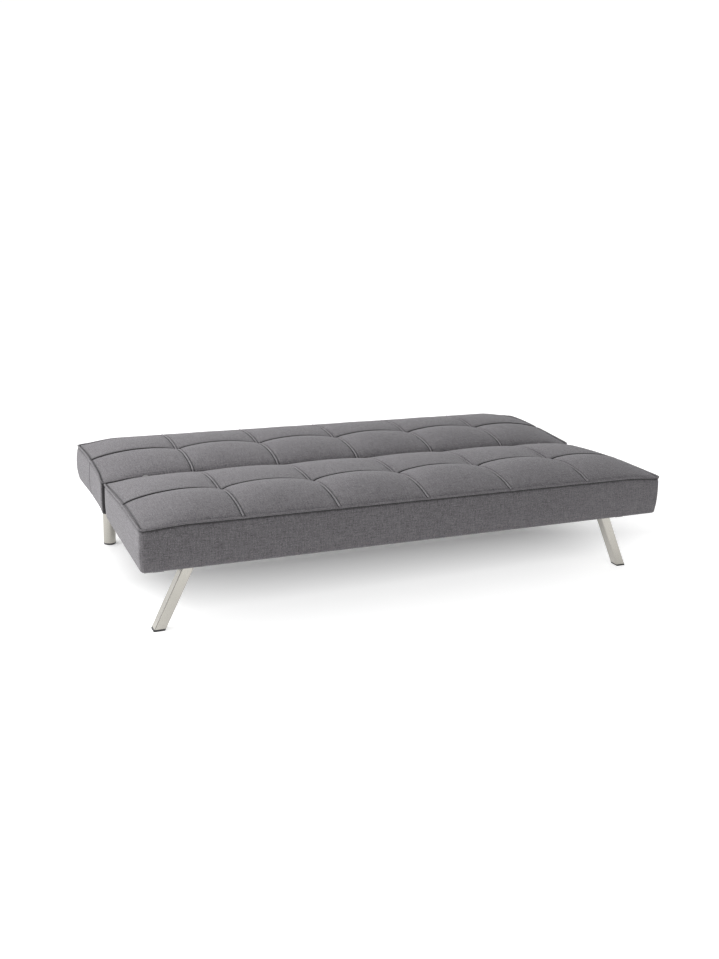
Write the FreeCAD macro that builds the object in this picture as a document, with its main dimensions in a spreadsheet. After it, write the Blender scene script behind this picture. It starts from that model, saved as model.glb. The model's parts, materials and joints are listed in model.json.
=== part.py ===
# Click clack sofa bed, drawn flat as a bed, in millimetres.
# X runs along the width, -Y is the seat's front edge, +Y the far edge of the backrest, +Z up.
# The origin is on the floor under the middle of the whole bed.
import FreeCAD, Part
import math
import os
import Sketcher

V = FreeCAD.Vector
doc = FreeCAD.newDocument("sofa_bed")

# ---------------------------------------------------------------- driving dimensions
sheet = doc.addObject("Spreadsheet::Sheet", "dims")
VALUES = [
    # whole object
    ("width", 1680.0), ("half_wid", 840.0), ("front_y", -475.0), ("joint_y", 45.0), ("far_y", 475.0),
    ("under_z", 200.0), ("welt_z", 327.0), ("crown_z", 367.0), ("joint_gap", 3.0),
    ("wall", 5.0), ("soft_gap", 0.6), ("corner_rad", 14.0), ("hem_wid", 30.0), ("hem_thk", 1.8),
    # timber frames
    ("wood_thk", 25.0), ("wood_low", 203.0), ("wood_high", 80.0), ("easing", 0.5),
    ("board_thk", 18.0), ("mid_high", 50.0), ("mid_y", -325.0),
    ("seat_hinge_rail_x", 681.0), ("back_hinge_rail_x", 687.0),
    # front legs: square tube splayed outwards
    ("leg_tube", 30.0), ("leg_deep", 34.0), ("leg_wall", 2.0), ("leg_splay", 0.471),
    ("leg_foot_x", 779.0), ("leg_front_y", -402.0), ("cap_high", 6.0),
    ("plate_top", 200.0), ("plate_thk", 4.0), ("plate_wid", 120.0), ("plate_deep", 90.0),
    # base rails and rear legs
    ("rail_x", 772.0), ("rail_sq", 30.0), ("rail_top", 194.0), ("rail_wall", 2.0),
    ("rail_front_y", -372.0), ("rail_far_y", 377.0),
    ("rear_leg_y", 357.0), ("rear_leg_rad", 20.0), ("rear_leg_wall", 1.5), ("bar_sq", 25.0),
    # hinge
    ("pivot_y", 45.0), ("pivot_z", 308.0), ("eye_rad", 11.0), ("pin_rad", 4.95), ("pin_hole", 5.0),
    ("sector_rad", 52.0), ("notch_rad", 43.5), ("plate_steel", 4.0),
    ("seat_plate_x", 706.0), ("back_plate_x", 712.0),
    ("pawl_pin_y", 105.6), ("pawl_pin_z", 265.6), ("pawl_boss", 9.0), ("pawl_hole", 4.0),
    ("pawl_pin_rad", 3.95), ("pawl_inner", 60.5), ("pawl_outer", 70.0),
    ("slot_in", 701.0), ("slot_out", 724.0),
    # fasteners
    ("bolt_rad", 4.0), ("bolt_hole", 4.2), ("head_rad", 7.0), ("head_high", 5.5),
    # springs
    ("wire_rad", 1.7), ("spring_half", 22.0), ("spring_pitch", 187.0), ("foam_low", 290.0),
]
for i, (name, value) in enumerate(VALUES, start=1):
    sheet.set("A%d" % i, name)
    sheet.set("B%d" % i, repr(value))
    sheet.setAlias("B%d" % i, name)
doc.recompute()
D = {name: float(sheet.get(name)) for name, _ in VALUES}
PARTS = []          # every sub-part, in the order it was made


def ex(text):
    """Turns bare alias names into sheet references, so that 'wall*2' reads dims.wall*2."""
    text = str(text)
    out, word = "", ""
    for ch in text + " ":
        if ch.isalpha() or ch == "_":
            word += ch
        else:
            if word:
                out += ("dims." + word) if word in D else word
                word = ""
            out += ch
    return out.strip()


def val(text):
    return float(sheet.evalExpression(ex(text)))


def place(obj, x=0, y=0, z=0):
    for axis, e in zip("xyz", (x, y, z)):
        if e != 0:
            obj.setExpression("Placement.Base." + axis, ex(e))


# ---------------------------------------------------------------- sketch based bodies
def new_body(label, x=0, y=0, z=0, keep=True):
    body = doc.addObject("PartDesign::Body", label)
    body.Label = label
    place(body, x, y, z)
    if keep:
        PARTS.append(body)
    return body


def origin_plane(body, role):
    return [f for f in body.Origin.OriginFeatures if f.Role == role][0]


def new_sketch(body, role, lift=0):
    sk = body.newObject("Sketcher::SketchObject", body.Name + "_sk")
    sk.AttachmentSupport = [(origin_plane(body, role), "")]
    sk.MapMode = "FlatFace"
    if lift != 0:
        sk.setExpression("AttachmentOffset.Base.z", ex(lift))
    return sk


def add_poly(sk, pts):
    """A closed outline; every corner is placed from the sketch origin by the sheet."""
    xy = [(val(a), val(b)) for a, b in pts]
    n0 = sk.GeometryCount
    n = len(xy)
    for i in range(n):
        a, b = xy[i], xy[(i + 1) % n]
        sk.addGeometry(Part.LineSegment(V(a[0], a[1], 0), V(b[0], b[1], 0)), False)
    for i in range(n):
        sk.addConstraint(Sketcher.Constraint("Coincident", n0 + i, 2, n0 + (i + 1) % n, 1))
    for i in range(n):
        for kind, e, v in (("DistanceX", pts[i][0], xy[i][0]), ("DistanceY", pts[i][1], xy[i][1])):
            c = sk.addConstraint(Sketcher.Constraint(kind, -1, 1, n0 + i, 1, v))
            sk.setExpression("Constraints[%d]" % c, ex(e))


def add_circle(sk, cx, cy, r):
    g = sk.addGeometry(Part.Circle(V(val(cx), val(cy), 0), V(0, 0, 1), val(r)), False)
    c = sk.addConstraint(Sketcher.Constraint("Radius", g, val(r)))
    sk.setExpression("Constraints[%d]" % c, ex(r))
    for kind, e in (("DistanceX", cx), ("DistanceY", cy)):
        c = sk.addConstraint(Sketcher.Constraint(kind, -1, 1, g, 3, val(e)))
        sk.setExpression("Constraints[%d]" % c, ex(e))


def add_rect(sk, x0, y0, x1, y1):
    add_poly(sk, [(x0, y0), (x1, y0), (x1, y1), (x0, y1)])


def pad(body, sk, length, back=False):
    p = body.newObject("PartDesign::Pad", body.Name + "_pad")
    p.Profile = sk
    p.setExpression("Length", ex(length))
    p.Reversed = back
    body.Tip = p
    doc.recompute()
    return p


def pocket(body, sk, length):
    """Cuts into the solid; if the first direction removes nothing, the other one is used."""
    before = body.Shape.Volume
    p = body.newObject("PartDesign::Pocket", body.Name + "_cut")
    p.Profile = sk
    p.setExpression("Length", ex(length))
    body.Tip = p
    doc.recompute()
    if p.State and "Invalid" in p.State or body.Shape.Volume > before - 0.5:
        p.Reversed = True
        doc.recompute()
    if body.Shape.Volume > before - 0.5:
        raise RuntimeError("pocket in %s removes nothing" % body.Label)
    return p


def drill(body, role, holes, r, length, lift=0):
    sk = new_sketch(body, role, lift)
    for cx, cy in holes:
        add_circle(sk, cx, cy, r)
    return pocket(body, sk, length)


def soften(body, radius, pick):
    """Rounds the straight edges that pick(edge) accepts."""
    names = []
    base = body.Tip
    for i, e in enumerate(base.Shape.Edges, start=1):
        if pick(e):
            names.append("Edge%d" % i)
    f = body.newObject("PartDesign::Fillet", body.Name + "_round")
    f.Base = (base, names)
    f.setExpression("Radius", ex(radius))
    body.Tip = f
    doc.recompute()
    return f


def along(axis, least=40.0):
    def test(e):
        if len(e.Vertexes) != 2 or e.Length < least or e.Curve.TypeId != "Part::GeomLine":
            return False
        d = e.Vertexes[1].Point - e.Vertexes[0].Point
        d.normalize()
        return abs(abs(d.dot(axis)) - 1.0) < 1e-4
    return test


def bar(label, x0, x1, y0, y1, z0, z1, keep=True):
    """A straight timber bar between six sheet positions, padded from a corner sketch."""
    body = new_body(label, x0, y0, z0, keep)
    sk = new_sketch(body, "XY_Plane")
    add_rect(sk, 0, 0, "(%s)-(%s)" % (x1, x0), "(%s)-(%s)" % (y1, y0))
    pad(body, sk, "(%s)-(%s)" % (z1, z0))
    return body


def notch(body, x0, x1, y0, y1, z0, depth, bx, by, bz):
    """Cuts a box out of a bar; x0..y1 in the object's frame, from z0 upwards by depth."""
    sk = new_sketch(body, "XY_Plane", "(%s)-(%s)+(%s)" % (z0, bz, depth))
    add_rect(sk, "(%s)-(%s)" % (x0, bx), "(%s)-(%s)" % (y0, by),
             "(%s)-(%s)" % (x1, bx), "(%s)-(%s)" % (y1, by))
    return pocket(body, sk, depth)


SIDES = (("left", -1), ("right", 1))


def span(sign, a, b):
    """Two x positions on one side, lowest first."""
    return (str(a), str(b)) if sign > 0 else ("-(%s)" % b, "-(%s)" % a)


# ---------------------------------------------------------------- primitives and booleans
def cyl(name, r, length, x, y, z, axis="z"):
    o = doc.addObject("Part::Cylinder", name)
    o.setExpression("Radius", ex(r))
    o.setExpression("Height", ex(length))
    rot = {"z": FreeCAD.Rotation(), "x": FreeCAD.Rotation(V(0, 1, 0), 90),
           "y": FreeCAD.Rotation(V(1, 0, 0), -90)}[axis]
    o.Placement = FreeCAD.Placement(V(0, 0, 0), rot)
    place(o, x, y, z)
    return o


def pbox(name, x0, x1, y0, y1, z0, z1):
    o = doc.addObject("Part::Box", name)
    o.setExpression("Length", ex("(%s)-(%s)" % (x1, x0)))
    o.setExpression("Width", ex("(%s)-(%s)" % (y1, y0)))
    o.setExpression("Height", ex("(%s)-(%s)" % (z1, z0)))
    place(o, x0, y0, z0)
    return o


def cut(name, base, tool):
    o = doc.addObject("Part::Cut", name)
    o.Base, o.Tool = base, tool
    return o


def fuse(name, shapes):
    o = doc.addObject("Part::MultiFuse", name)
    o.Shapes = shapes
    return o


def group(label, shapes):
    """Several separate solids that share one node."""
    o = doc.addObject("Part::Compound", label)
    o.Label = label
    o.Links = shapes
    PARTS.append(o)
    return o


def keep(o, label):
    o.Label = label
    PARTS.append(o)
    return o


def ring(name, r_out, r_in, length, x, y, z, axis="z"):
    a = cyl(name + "_out", r_out, length, x, y, z, axis)
    lead = {"z": (x, y, "(%s)-1" % z), "x": ("(%s)-1" % x, y, z), "y": (x, "(%s)-1" % y, z)}[axis]
    b = cyl(name + "_in", r_in, "(%s)+2" % length, lead[0], lead[1], lead[2], axis)
    return cut(name, a, b)


# ================================================================ base: legs and rails
# Front legs: a splayed tube of square section with a bolting plate welded on top.
foot_half = "leg_tube*sqrt(1+leg_splay*leg_splay)/2"
wall_run = "leg_wall*sqrt(1+leg_splay*leg_splay)"
for side, sg in SIDES:
    s = "%d*" % sg
    body = new_body("front_leg_" + side)
    # the tube: an upright parallelogram in XZ, as deep as the tube in Y
    zt, zb = "(plate_top-plate_thk)", "cap_high"
    def xs(zed, off):
        return s + "(leg_foot_x-leg_splay*(%s)+(%s))" % (zed, off)
    sk = new_sketch(body, "XZ_Plane", "-(leg_front_y)")
    add_poly(sk, [(xs(zb, foot_half), zb), (xs(zt, foot_half), zt),
                  (xs(zt, "-(%s)" % foot_half), zt), (xs(zb, "-(%s)" % foot_half), zb)])
    pad(body, sk, "leg_deep", back=True)
    lean = V(-sg * D["leg_splay"], 0, 1)
    lean.normalize()
    soften(body, 3, along(lean, 100))
    # welded plate
    sk = new_sketch(body, "XY_Plane", "plate_top-plate_thk")
    cx = s + "(leg_foot_x-leg_splay*196)"
    cy = "leg_front_y+leg_deep/2"
    add_rect(sk, cx + "-plate_wid/2", cy + "-plate_deep/2", cx + "+plate_wid/2", cy + "+plate_deep/2")
    pad(body, sk, "plate_thk")
    soften(body, 8, along(V(0, 0, 1), 3.5))
    # hollow of the tube, open at the foot
    sk = new_sketch(body, "XZ_Plane", "-(leg_front_y+leg_wall)")
    inn = "(%s-(%s))" % (foot_half, wall_run)
    z_in = "(plate_top-plate_thk-6)"
    add_poly(sk, [(xs("(cap_high-1)", inn), "cap_high-1"), (xs(z_in, inn), z_in),
                  (xs(z_in, "-" + inn), z_in), (xs("(cap_high-1)", "-" + inn), "cap_high-1")])
    p = body.newObject("PartDesign::Pocket", body.Name + "_hollow")
    before = body.Shape.Volume
    p.Profile = sk
    p.setExpression("Length", ex("leg_deep-2*leg_wall"))
    body.Tip = p
    doc.recompute()
    if body.Shape.Volume > before - 50000:
        p.Reversed = not p.Reversed
        doc.recompute()
    assert body.Shape.Volume < before - 50000, "leg hollow"
    # four bolt holes in the plate
    drill(body, "XY_Plane", [(cx + "%+d" % dx, cy + "%+d" % dy) for dx in (-45, 45) for dy in (-32, 32)],
          "bolt_hole", "plate_thk+2", "plate_top+1")

    # black plastic foot cap: it follows the tube's slant and plugs into it
    cap = new_body("front_foot_cap_" + side)
    sk = new_sketch(cap, "XZ_Plane", "-(leg_front_y)")
    add_poly(sk, [(xs("0", foot_half), 0), (xs("cap_high", foot_half), "cap_high"),
                  (xs("cap_high", "-(%s)" % foot_half), "cap_high"), (xs("0", "-(%s)" % foot_half), 0)])
    pad(cap, sk, "leg_deep", back=True)
    soften(cap, 3, along(lean, 5))
    sk = new_sketch(cap, "XZ_Plane", "-(leg_front_y+leg_wall+0.3)")
    plug = "(%s-(%s)-0.3)" % (foot_half, wall_run)
    add_poly(sk, [(xs("cap_high", plug), "cap_high"), (xs("(cap_high+14)", plug), "cap_high+14"),
                  (xs("(cap_high+14)", "-" + plug), "cap_high+14"), (xs("cap_high", "-" + plug), "cap_high")])
    pad(cap, sk, "leg_deep-2*leg_wall-0.6", back=True)

# Base side rails: square tube under the seat and the backrest, with plastic end plugs.
plugs = []
for side, sg in SIDES:
    x0, x1 = span(sg, "rail_x-rail_sq/2", "rail_x+rail_sq/2")
    body = new_body("base_side_rail_" + side, x0, "rail_front_y", "rail_top-rail_sq")
    sk = new_sketch(body, "XZ_Plane")
    add_rect(sk, 0, 0, "rail_sq", "rail_sq")
    pad(body, sk, "rail_far_y-rail_front_y", back=True)
    soften(body, 2.5, along(V(0, 1, 0), 100))
    sk = new_sketch(body, "XZ_Plane", 1)
    add_rect(sk, "rail_wall", "rail_wall", "rail_sq-rail_wall", "rail_sq-rail_wall")
    p = body.newObject("PartDesign::Pocket", body.Name + "_hollow")
    p.Profile = sk
    p.setExpression("Length", ex("rail_far_y-rail_front_y+2"))
    body.Tip = p
    doc.recompute()
    if body.Shape.Volume > 749 * 500:
        p.Reversed = not p.Reversed
        doc.recompute()
    assert body.Shape.Volume < 749 * 260, "rail hollow %s" % body.Shape.Volume
    drill(body, "XY_Plane", [("rail_sq/2", "-350-(rail_front_y)"), ("rail_sq/2", "24-(rail_front_y)")],
          "bolt_hole", "rail_sq+2", "rail_sq+1")
    for tag, y0, y1, yi0, yi1 in (("f", "rail_front_y-3", "rail_front_y", "rail_front_y", "rail_front_y+14"),
                                  ("b", "rail_far_y", "rail_far_y+3", "rail_far_y-14", "rail_far_y")):
        a = pbox("plug_face_%s_%s" % (tag, side), x0, x1, y0, y1, "rail_top-rail_sq", "rail_top")
        b = pbox("plug_core_%s_%s" % (tag, side), x0 + "+rail_wall+0.2", x1 + "-rail_wall-0.2", yi0, yi1,
                 "rail_top-rail_sq+rail_wall+0.2", "rail_top-rail_wall-0.2")
        plugs.append(fuse("plug_%s_%s" % (tag, side), [a, b]))
group("base_rail_end_plugs", plugs)

# Crossbar between the side rails, over the rear legs.
body = new_body("base_crossbar", "-(rail_x-rail_sq/2)", "rear_leg_y-bar_sq/2", "rail_top-3-bar_sq")
sk = new_sketch(body, "YZ_Plane")
add_rect(sk, 0, 0, "bar_sq", "bar_sq")
pad(body, sk, "2*rail_x-rail_sq")
soften(body, 2.5, along(V(1, 0, 0), 100))
sk = new_sketch(body, "YZ_Plane", -1)
add_rect(sk, 2, 2, "bar_sq-2", "bar_sq-2")
p = body.newObject("PartDesign::Pocket", body.Name + "_hollow")
p.Profile = sk
p.setExpression("Length", ex("2*rail_x-rail_sq+2"))
body.Tip = p
doc.recompute()
if body.Shape.Volume > 1514 * 400:
    p.Reversed = not p.Reversed
    doc.recompute()
assert body.Shape.Volume < 1514 * 260, "crossbar hollow"

# Rear legs: round tube with a weld disc on top, revolved; and their caps.
for side, sg in SIDES:
    x = "%d*rail_x" % sg
    body = new_body("rear_leg_" + side, x, "rear_leg_y", 0)
    sk = new_sketch(body, "XZ_Plane")
    top = "rail_top-rail_sq"
    add_poly(sk, [("rear_leg_rad-rear_leg_wall", "cap_high"), ("rear_leg_rad", "cap_high"),
                  ("rear_leg_rad", top + "-3"), ("rear_leg_rad+5", top + "-3"), ("rear_leg_rad+5", top),
                  (0, top), (0, top + "-3"), ("rear_leg_rad-rear_leg_wall", top + "-3")])
    rev = body.newObject("PartDesign::Revolution", body.Name + "_rev")
    rev.Profile = sk
    rev.ReferenceAxis = (sk, ["V_Axis"])
    rev.Angle = 360
    body.Tip = rev
    doc.recompute()
    cap = new_body("rear_foot_cap_" + side, x, "rear_leg_y", 0)
    sk = new_sketch(cap, "XZ_Plane")
    add_poly(sk, [(0, 0), ("rear_leg_rad-1.2", 0), ("rear_leg_rad", 1.2), ("rear_leg_rad", "cap_high"),
                  ("rear_leg_rad-rear_leg_wall-0.3", "cap_high"), ("rear_leg_rad-rear_leg_wall-0.3", "cap_high+14"),
                  (0, "cap_high+14")])
    rev = cap.newObject("PartDesign::Revolution", cap.Name + "_rev")
    rev.Profile = sk
    rev.ReferenceAxis = (sk, ["V_Axis"])
    rev.Angle = 360
    cap.Tip = rev
    doc.recompute()

# Rubber bumpers over the rear legs, which the flat backrest lies on.
group("back_rest_bumpers", [cyl("bumper_" + side, 12, 5.6, "%d*rail_x" % sg, "rear_leg_y", "rail_top")
                            for side, sg in SIDES])

# Bolts that hold the rails and the front legs to the seat frame.
spacers, rail_bolts = [], []
for side, sg in SIDES:
    x = "%d*rail_x" % sg
    for tag, y in (("f", "-350"), ("b", "24")):
        spacers.append(ring("spacer_%s_%s" % (tag, side), 12, "bolt_rad+0.2", "under_z-rail_top", x, y, "rail_top"))
        head = cyl("rb_head_%s_%s" % (tag, side), "head_rad", "head_high", x, y, "rail_top-rail_sq-head_high")
        shank = cyl("rb_shank_%s_%s" % (tag, side), "bolt_rad", "rail_sq+head_high+25", x, y,
                    "rail_top-rail_sq-head_high")
        rail_bolts.append(fuse("rb_%s_%s" % (tag, side), [head, shank]))
group("base_rail_spacers", spacers)
group("base_rail_bolts", rail_bolts)
leg_bolts, tnuts = [], []
for side, sg in SIDES:
    for ix, dx in enumerate((-45, 45)):
        for iy, dy in enumerate((-32, 32)):
            x = "%d*(leg_foot_x-leg_splay*196)%+d" % (sg, dx)
            y = "leg_front_y+leg_deep/2%+d" % dy
            tag = "%s%d%d" % (side, ix, iy)
            head = cyl("lb_head_" + tag, "head_rad", "head_high", x, y, "plate_top-plate_thk-head_high")
            shank = cyl("lb_shank_" + tag, "bolt_rad", "head_high+plate_thk+20", x, y,
                        "plate_top-plate_thk-head_high")
            leg_bolts.append(fuse("lb_" + tag, [head, shank]))
            tnuts.append(ring("tn_" + tag, 9, "bolt_rad+0.05", 2, x, y, "wood_low+board_thk"))
group("front_leg_bolts", leg_bolts)
group("front_leg_tee_nuts", tnuts)

# ================================================================ timber frames
wx = "half_wid-wall-easing"           # outer face of the end rails
LAY = {
    "seat": ("front_y+wall+easing", "joint_y-joint_gap-wall-easing"),
    "back": ("joint_y+joint_gap+wall+easing", "far_y-wall-easing"),
}
zl, zh = "wood_low", "wood_low+wood_high"


def x_rail(label, y0, y1, high="wood_high", outer=0.0, slots=0):
    """A long rail; its two outer end corners are rounded over under the cover."""
    body = bar(label, "-(%s)" % wx, wx, y0, y1, zl, "wood_low+%s" % high)
    upright = along(V(0, 0, 1), 40)
    ends = (0.0, 2 * val(wx))

    def corner(e):
        p = e.Vertexes[0].Point
        return upright(e) and abs(p.y - outer) < 0.1 and min(abs(p.x - k) for k in ends) < 0.1
    soften(body, "corner_rad-2", corner)
    for side, sg in SIDES if slots else ():
        a, b = span(sg, "slot_in", "slot_out")
        notch(body, a, b, "(%s)-1" % y0, "(%s)+1" % y1, slots, "wood_low+wood_high-(%s)+1" % slots,
              "-(%s)" % wx, y0, zl)
    return body


y0, y1 = LAY["seat"]
front = x_rail("seat_front_rail", y0, y0 + "+wood_thk", outer=0.0)
rear = x_rail("seat_rear_rail", y1 + "-wood_thk", y1, outer=D["wood_thk"], slots=230)
# the rear rail takes the rear bolt of each base rail
drill(rear, "XY_Plane", [("%d*rail_x+%s" % (sg, wx), "24-(%s-wood_thk)" % y1) for _, sg in SIDES],
      "bolt_hole", 24, 0)
for side, sg in SIDES:
    a, b = span(sg, wx + "-wood_thk", wx)
    bar("seat_end_rail_" + side, a, b, y0 + "+wood_thk", y1 + "-wood_thk", zl, zh)
    a, b = span(sg, "seat_hinge_rail_x", "seat_plate_x")
    hr = bar("seat_hinge_rail_" + side, a, b, "mid_y+wood_thk", y1 + "-wood_thk", zl, zh)
    drill(hr, "YZ_Plane", [("%s-(mid_y+wood_thk)" % yy, "239-wood_low") for yy in ("-190", "-130", "-60")],
          "bolt_hole", 27, 26)
    a, b = span(sg, "560", wx + "-wood_thk")
    lb = bar("seat_leg_board_" + side, a, b, y0 + "+wood_thk", "mid_y", zl, "wood_low+board_thk")
    holes = [("%d*(leg_foot_x-leg_splay*196)%+d-(%s)" % (sg, dx, a),
              "leg_front_y+leg_deep/2%+d-(%s+wood_thk)" % (dy, y0)) for dx in (-45, 45) for dy in (-32, 32)]
    holes.append(("%d*rail_x-(%s)" % (sg, a), "-350-(%s+wood_thk)" % y0))
    drill(lb, "XY_Plane", holes, "bolt_hole", "board_thk+2", "board_thk+1")
bar("seat_mid_rail", "-(%s-wood_thk)" % wx, wx + "-wood_thk", "mid_y", "mid_y+wood_thk", zl, "wood_low+mid_high")

y0, y1 = LAY["back"]
x_rail("back_near_rail", y0, y0 + "+wood_thk", outer=0.0, slots=228)
x_rail("back_far_rail", y1 + "-wood_thk", y1, outer=D["wood_thk"])
for side, sg in SIDES:
    a, b = span(sg, wx + "-wood_thk", wx)
    bar("back_end_rail_" + side, a, b, y0 + "+wood_thk", y1 + "-wood_thk", zl, zh)
    a, b = span(sg, "back_hinge_rail_x", "back_plate_x")
    hr = bar("back_hinge_rail_" + side, a, b, y0 + "+wood_thk", y1 + "-wood_thk", zl, zh)
    # rebate that clears the fixed hinge plate and the pawl
    r0, r1 = span(sg, "slot_in", "back_plate_x+1")
    notch(hr, r0, r1, y0 + "+wood_thk-1", "137", "wood_low-1", "wood_high+2", a, y0 + "+wood_thk", zl)
    drill(hr, "YZ_Plane", [("%s-(%s+wood_thk)" % (yy, y0), "239-wood_low") for yy in ("170", "230", "285")],
          "bolt_hole", 27, 26)
    a, b = span(sg, "back_plate_x+easing", wx + "-wood_thk")
    bar("back_support_board_" + side, a, b, "320", y1 + "-wood_thk", zl, "wood_low+board_thk")

# ================================================================ hinges
# Seat-side plate: an arm bolted to the seat frame and a notched sector round the pivot.
ARM_Z = ("216", "262")


def polar(r, deg):
    a = math.radians(deg)
    return ("pivot_y+(%s)*%.6f" % (r, math.cos(a)), "pivot_z+(%s)*%.6f" % (r, math.sin(a)))


for side, sg in SIDES:
    a, b = span(sg, "seat_plate_x", "seat_plate_x+plate_steel")
    body = new_body("seat_hinge_plate_" + side, a, 0, 0)
    sk = new_sketch(body, "YZ_Plane")
    add_circle(sk, "pivot_y", "pivot_z", "sector_rad")
    pad(body, sk, "plate_steel")
    # the disc is cut off above a line that leans up by 8 degrees towards the backrest
    sk = new_sketch(body, "YZ_Plane", -1)
    add_poly(sk, [polar(70, 8), polar(99, 53), polar(99, 143), polar(70, 188)])
    pocket(body, sk, "plate_steel+2")
    sk = new_sketch(body, "YZ_Plane")
    add_circle(sk, "pivot_y", "pivot_z", "eye_rad")
    pad(body, sk, "plate_steel")
    sk = new_sketch(body, "YZ_Plane")
    add_poly(sk, [("-210", ARM_Z[0]), ("-5", ARM_Z[0]), ("33", "262"), ("33", "290"), ("0", "300"),
                  ("-40", ARM_Z[1]), ("-210", ARM_Z[1])])
    pad(body, sk, "plate_steel")
    # notches for flat, lounging and upright; the last one is long, for the release travel
    for lo, hi in ((-86.5, -73.5), (-48.5, -35.5), (-16.5, 4.5)):
        sk = new_sketch(body, "YZ_Plane", -1)
        pts = [polar("notch_rad", lo + 1.5), polar("sector_rad+3", lo)]
        pts += [polar("sector_rad+3", hi), polar("notch_rad", hi - 1.5)]
        add_poly(sk, pts)
        pocket(body, sk, "plate_steel+2")
    drill(body, "YZ_Plane", [("pivot_y", "pivot_z")], "pin_hole", "plate_steel+2", -1)
    drill(body, "YZ_Plane", [(yy, "239") for yy in ("-190", "-130", "-60")], "bolt_hole", "plate_steel+2", -1)

    # Backrest-side plate, with the eye, the pawl's pivot and the spring lug.
    a, b = span(sg, "back_plate_x", "back_plate_x+plate_steel")
    body = new_body("back_hinge_plate_" + side, a, 0, 0)
    sk = new_sketch(body, "YZ_Plane")
    add_poly(sk, [("38.5", "299.5"), ("96", "222"), ("118", ARM_Z[0]), ("310", ARM_Z[0]), ("310", ARM_Z[1]),
                  ("150", ARM_Z[1]), ("108", "292"), ("52", "316.5")])
    pad(body, sk, "plate_steel")
    sk = new_sketch(body, "YZ_Plane")
    add_circle(sk, "pivot_y", "pivot_z", "eye_rad")
    pad(body, sk, "plate_steel")
    sk = new_sketch(body, "YZ_Plane", "-5.5" if sg > 0 else "plate_steel")
    add_rect(sk, 118, 246, 126, 256)
    pad(body, sk, "5.5")
    drill(body, "YZ_Plane", [("pivot_y", "pivot_z")], "pin_hole", "plate_steel+2", -1)
    drill(body, "YZ_Plane", [("pawl_pin_y", "pawl_pin_z")], "pawl_hole", "plate_steel+2", -1)
    drill(body, "YZ_Plane", [(yy, "239") for yy in ("170", "230", "285")], "bolt_hole", "plate_steel+2", -1)

    # Pawl: a curved bar round the sector with one tooth, on its own pin.
    a, b = span(sg, "seat_plate_x", "seat_plate_x+plate_steel")
    body = new_body("pawl_" + side, a, 0, 0)
    sk = new_sketch(body, "YZ_Plane")
    outer = [polar("pawl_outer", d) for d in (-84, -76, -68, -60, -52, -44)]
    inner = [polar("pawl_inner", d) for d in (-44, -52, -60, -68)]
    tooth = [polar("pawl_inner", -76.2), polar("sector_rad+0.4", -77.4), polar("sector_rad+0.4", -82.6),
             polar("pawl_inner", -84)]
    add_poly(sk, outer + inner + tooth)
    pad(body, sk, "plate_steel")
    sk = new_sketch(body, "YZ_Plane")
    add_circle(sk, "pawl_pin_y", "pawl_pin_z", "pawl_boss")
    pad(body, sk, "plate_steel")
    drill(body, "YZ_Plane", [("pawl_pin_y", "pawl_pin_z")], "pawl_hole", "plate_steel+2", -1)

    # Leaf spring: hugs the pawl's outer edge and is held by the lug.
    a, b = span(sg, "seat_plate_x+0.3", "back_plate_x")
    body = new_body("pawl_spring_" + side, a, 0, 0)
    sk = new_sketch(body, "YZ_Plane")
    arc = (-80, -74, -68, -62, -56, -50)
    low = [polar("pawl_outer+1.5", d) for d in arc]
    top = [polar("pawl_outer+0.6", d) for d in reversed(arc)]
    add_poly(sk, low + [("118", "250.4"), ("118", "251.4")] + top)
    pad(body, sk, "plate_steel-0.6")
    if sg < 0:
        place(body, "-(seat_plate_x+plate_steel-0.3)", 0, 0)

# Pins, washers and pawl pins: turned parts along X.
washers, pawl_pins = [], []
for side, sg in SIDES:
    def turned(name, r, xa, xb, y, z):
        lo, hi = span(sg, xa, xb)
        return cyl(name, r, "(%s)-(%s)" % (hi, lo), lo, y, z, "x")

    def turned_ring(name, ro, ri, xa, xb, y, z):
        lo, hi = span(sg, xa, xb)
        return ring(name, ro, ri, "(%s)-(%s)" % (hi, lo), lo, y, z, "x")
    py, pz = "pivot_y", "pivot_z"
    keep(fuse("hinge_pin_" + side, [
        turned("hp_shaft_" + side, "pin_rad", "703", "720", py, pz),
        turned("hp_in_" + side, "9", "703", "706", py, pz),
        turned("hp_out_" + side, "9", "717.3", "720", py, pz)]), "hinge_pin_" + side)
    washers.append(turned_ring("wash_mid_" + side, "eye_rad", "pin_hole+0.1", "710.1", "711.8", py, pz))
    washers.append(turned_ring("wash_out_" + side, "eye_rad", "pin_hole+0.1", "716.2", "717.2", py, pz))
    pawl_pins.append(fuse("pawl_pin_" + side, [
        turned("pp_shaft_" + side, "pawl_pin_rad", "703.4", "718.4", "pawl_pin_y", "pawl_pin_z"),
        turned("pp_in_" + side, "7", "703.4", "705.8", "pawl_pin_y", "pawl_pin_z"),
        turned("pp_mid_" + side, "7", "710.2", "712", "pawl_pin_y", "pawl_pin_z"),
        turned("pp_out_" + side, "7", "716", "718.4", "pawl_pin_y", "pawl_pin_z")]))
group("hinge_washers", washers)
group("pawl_pins", pawl_pins)

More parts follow.
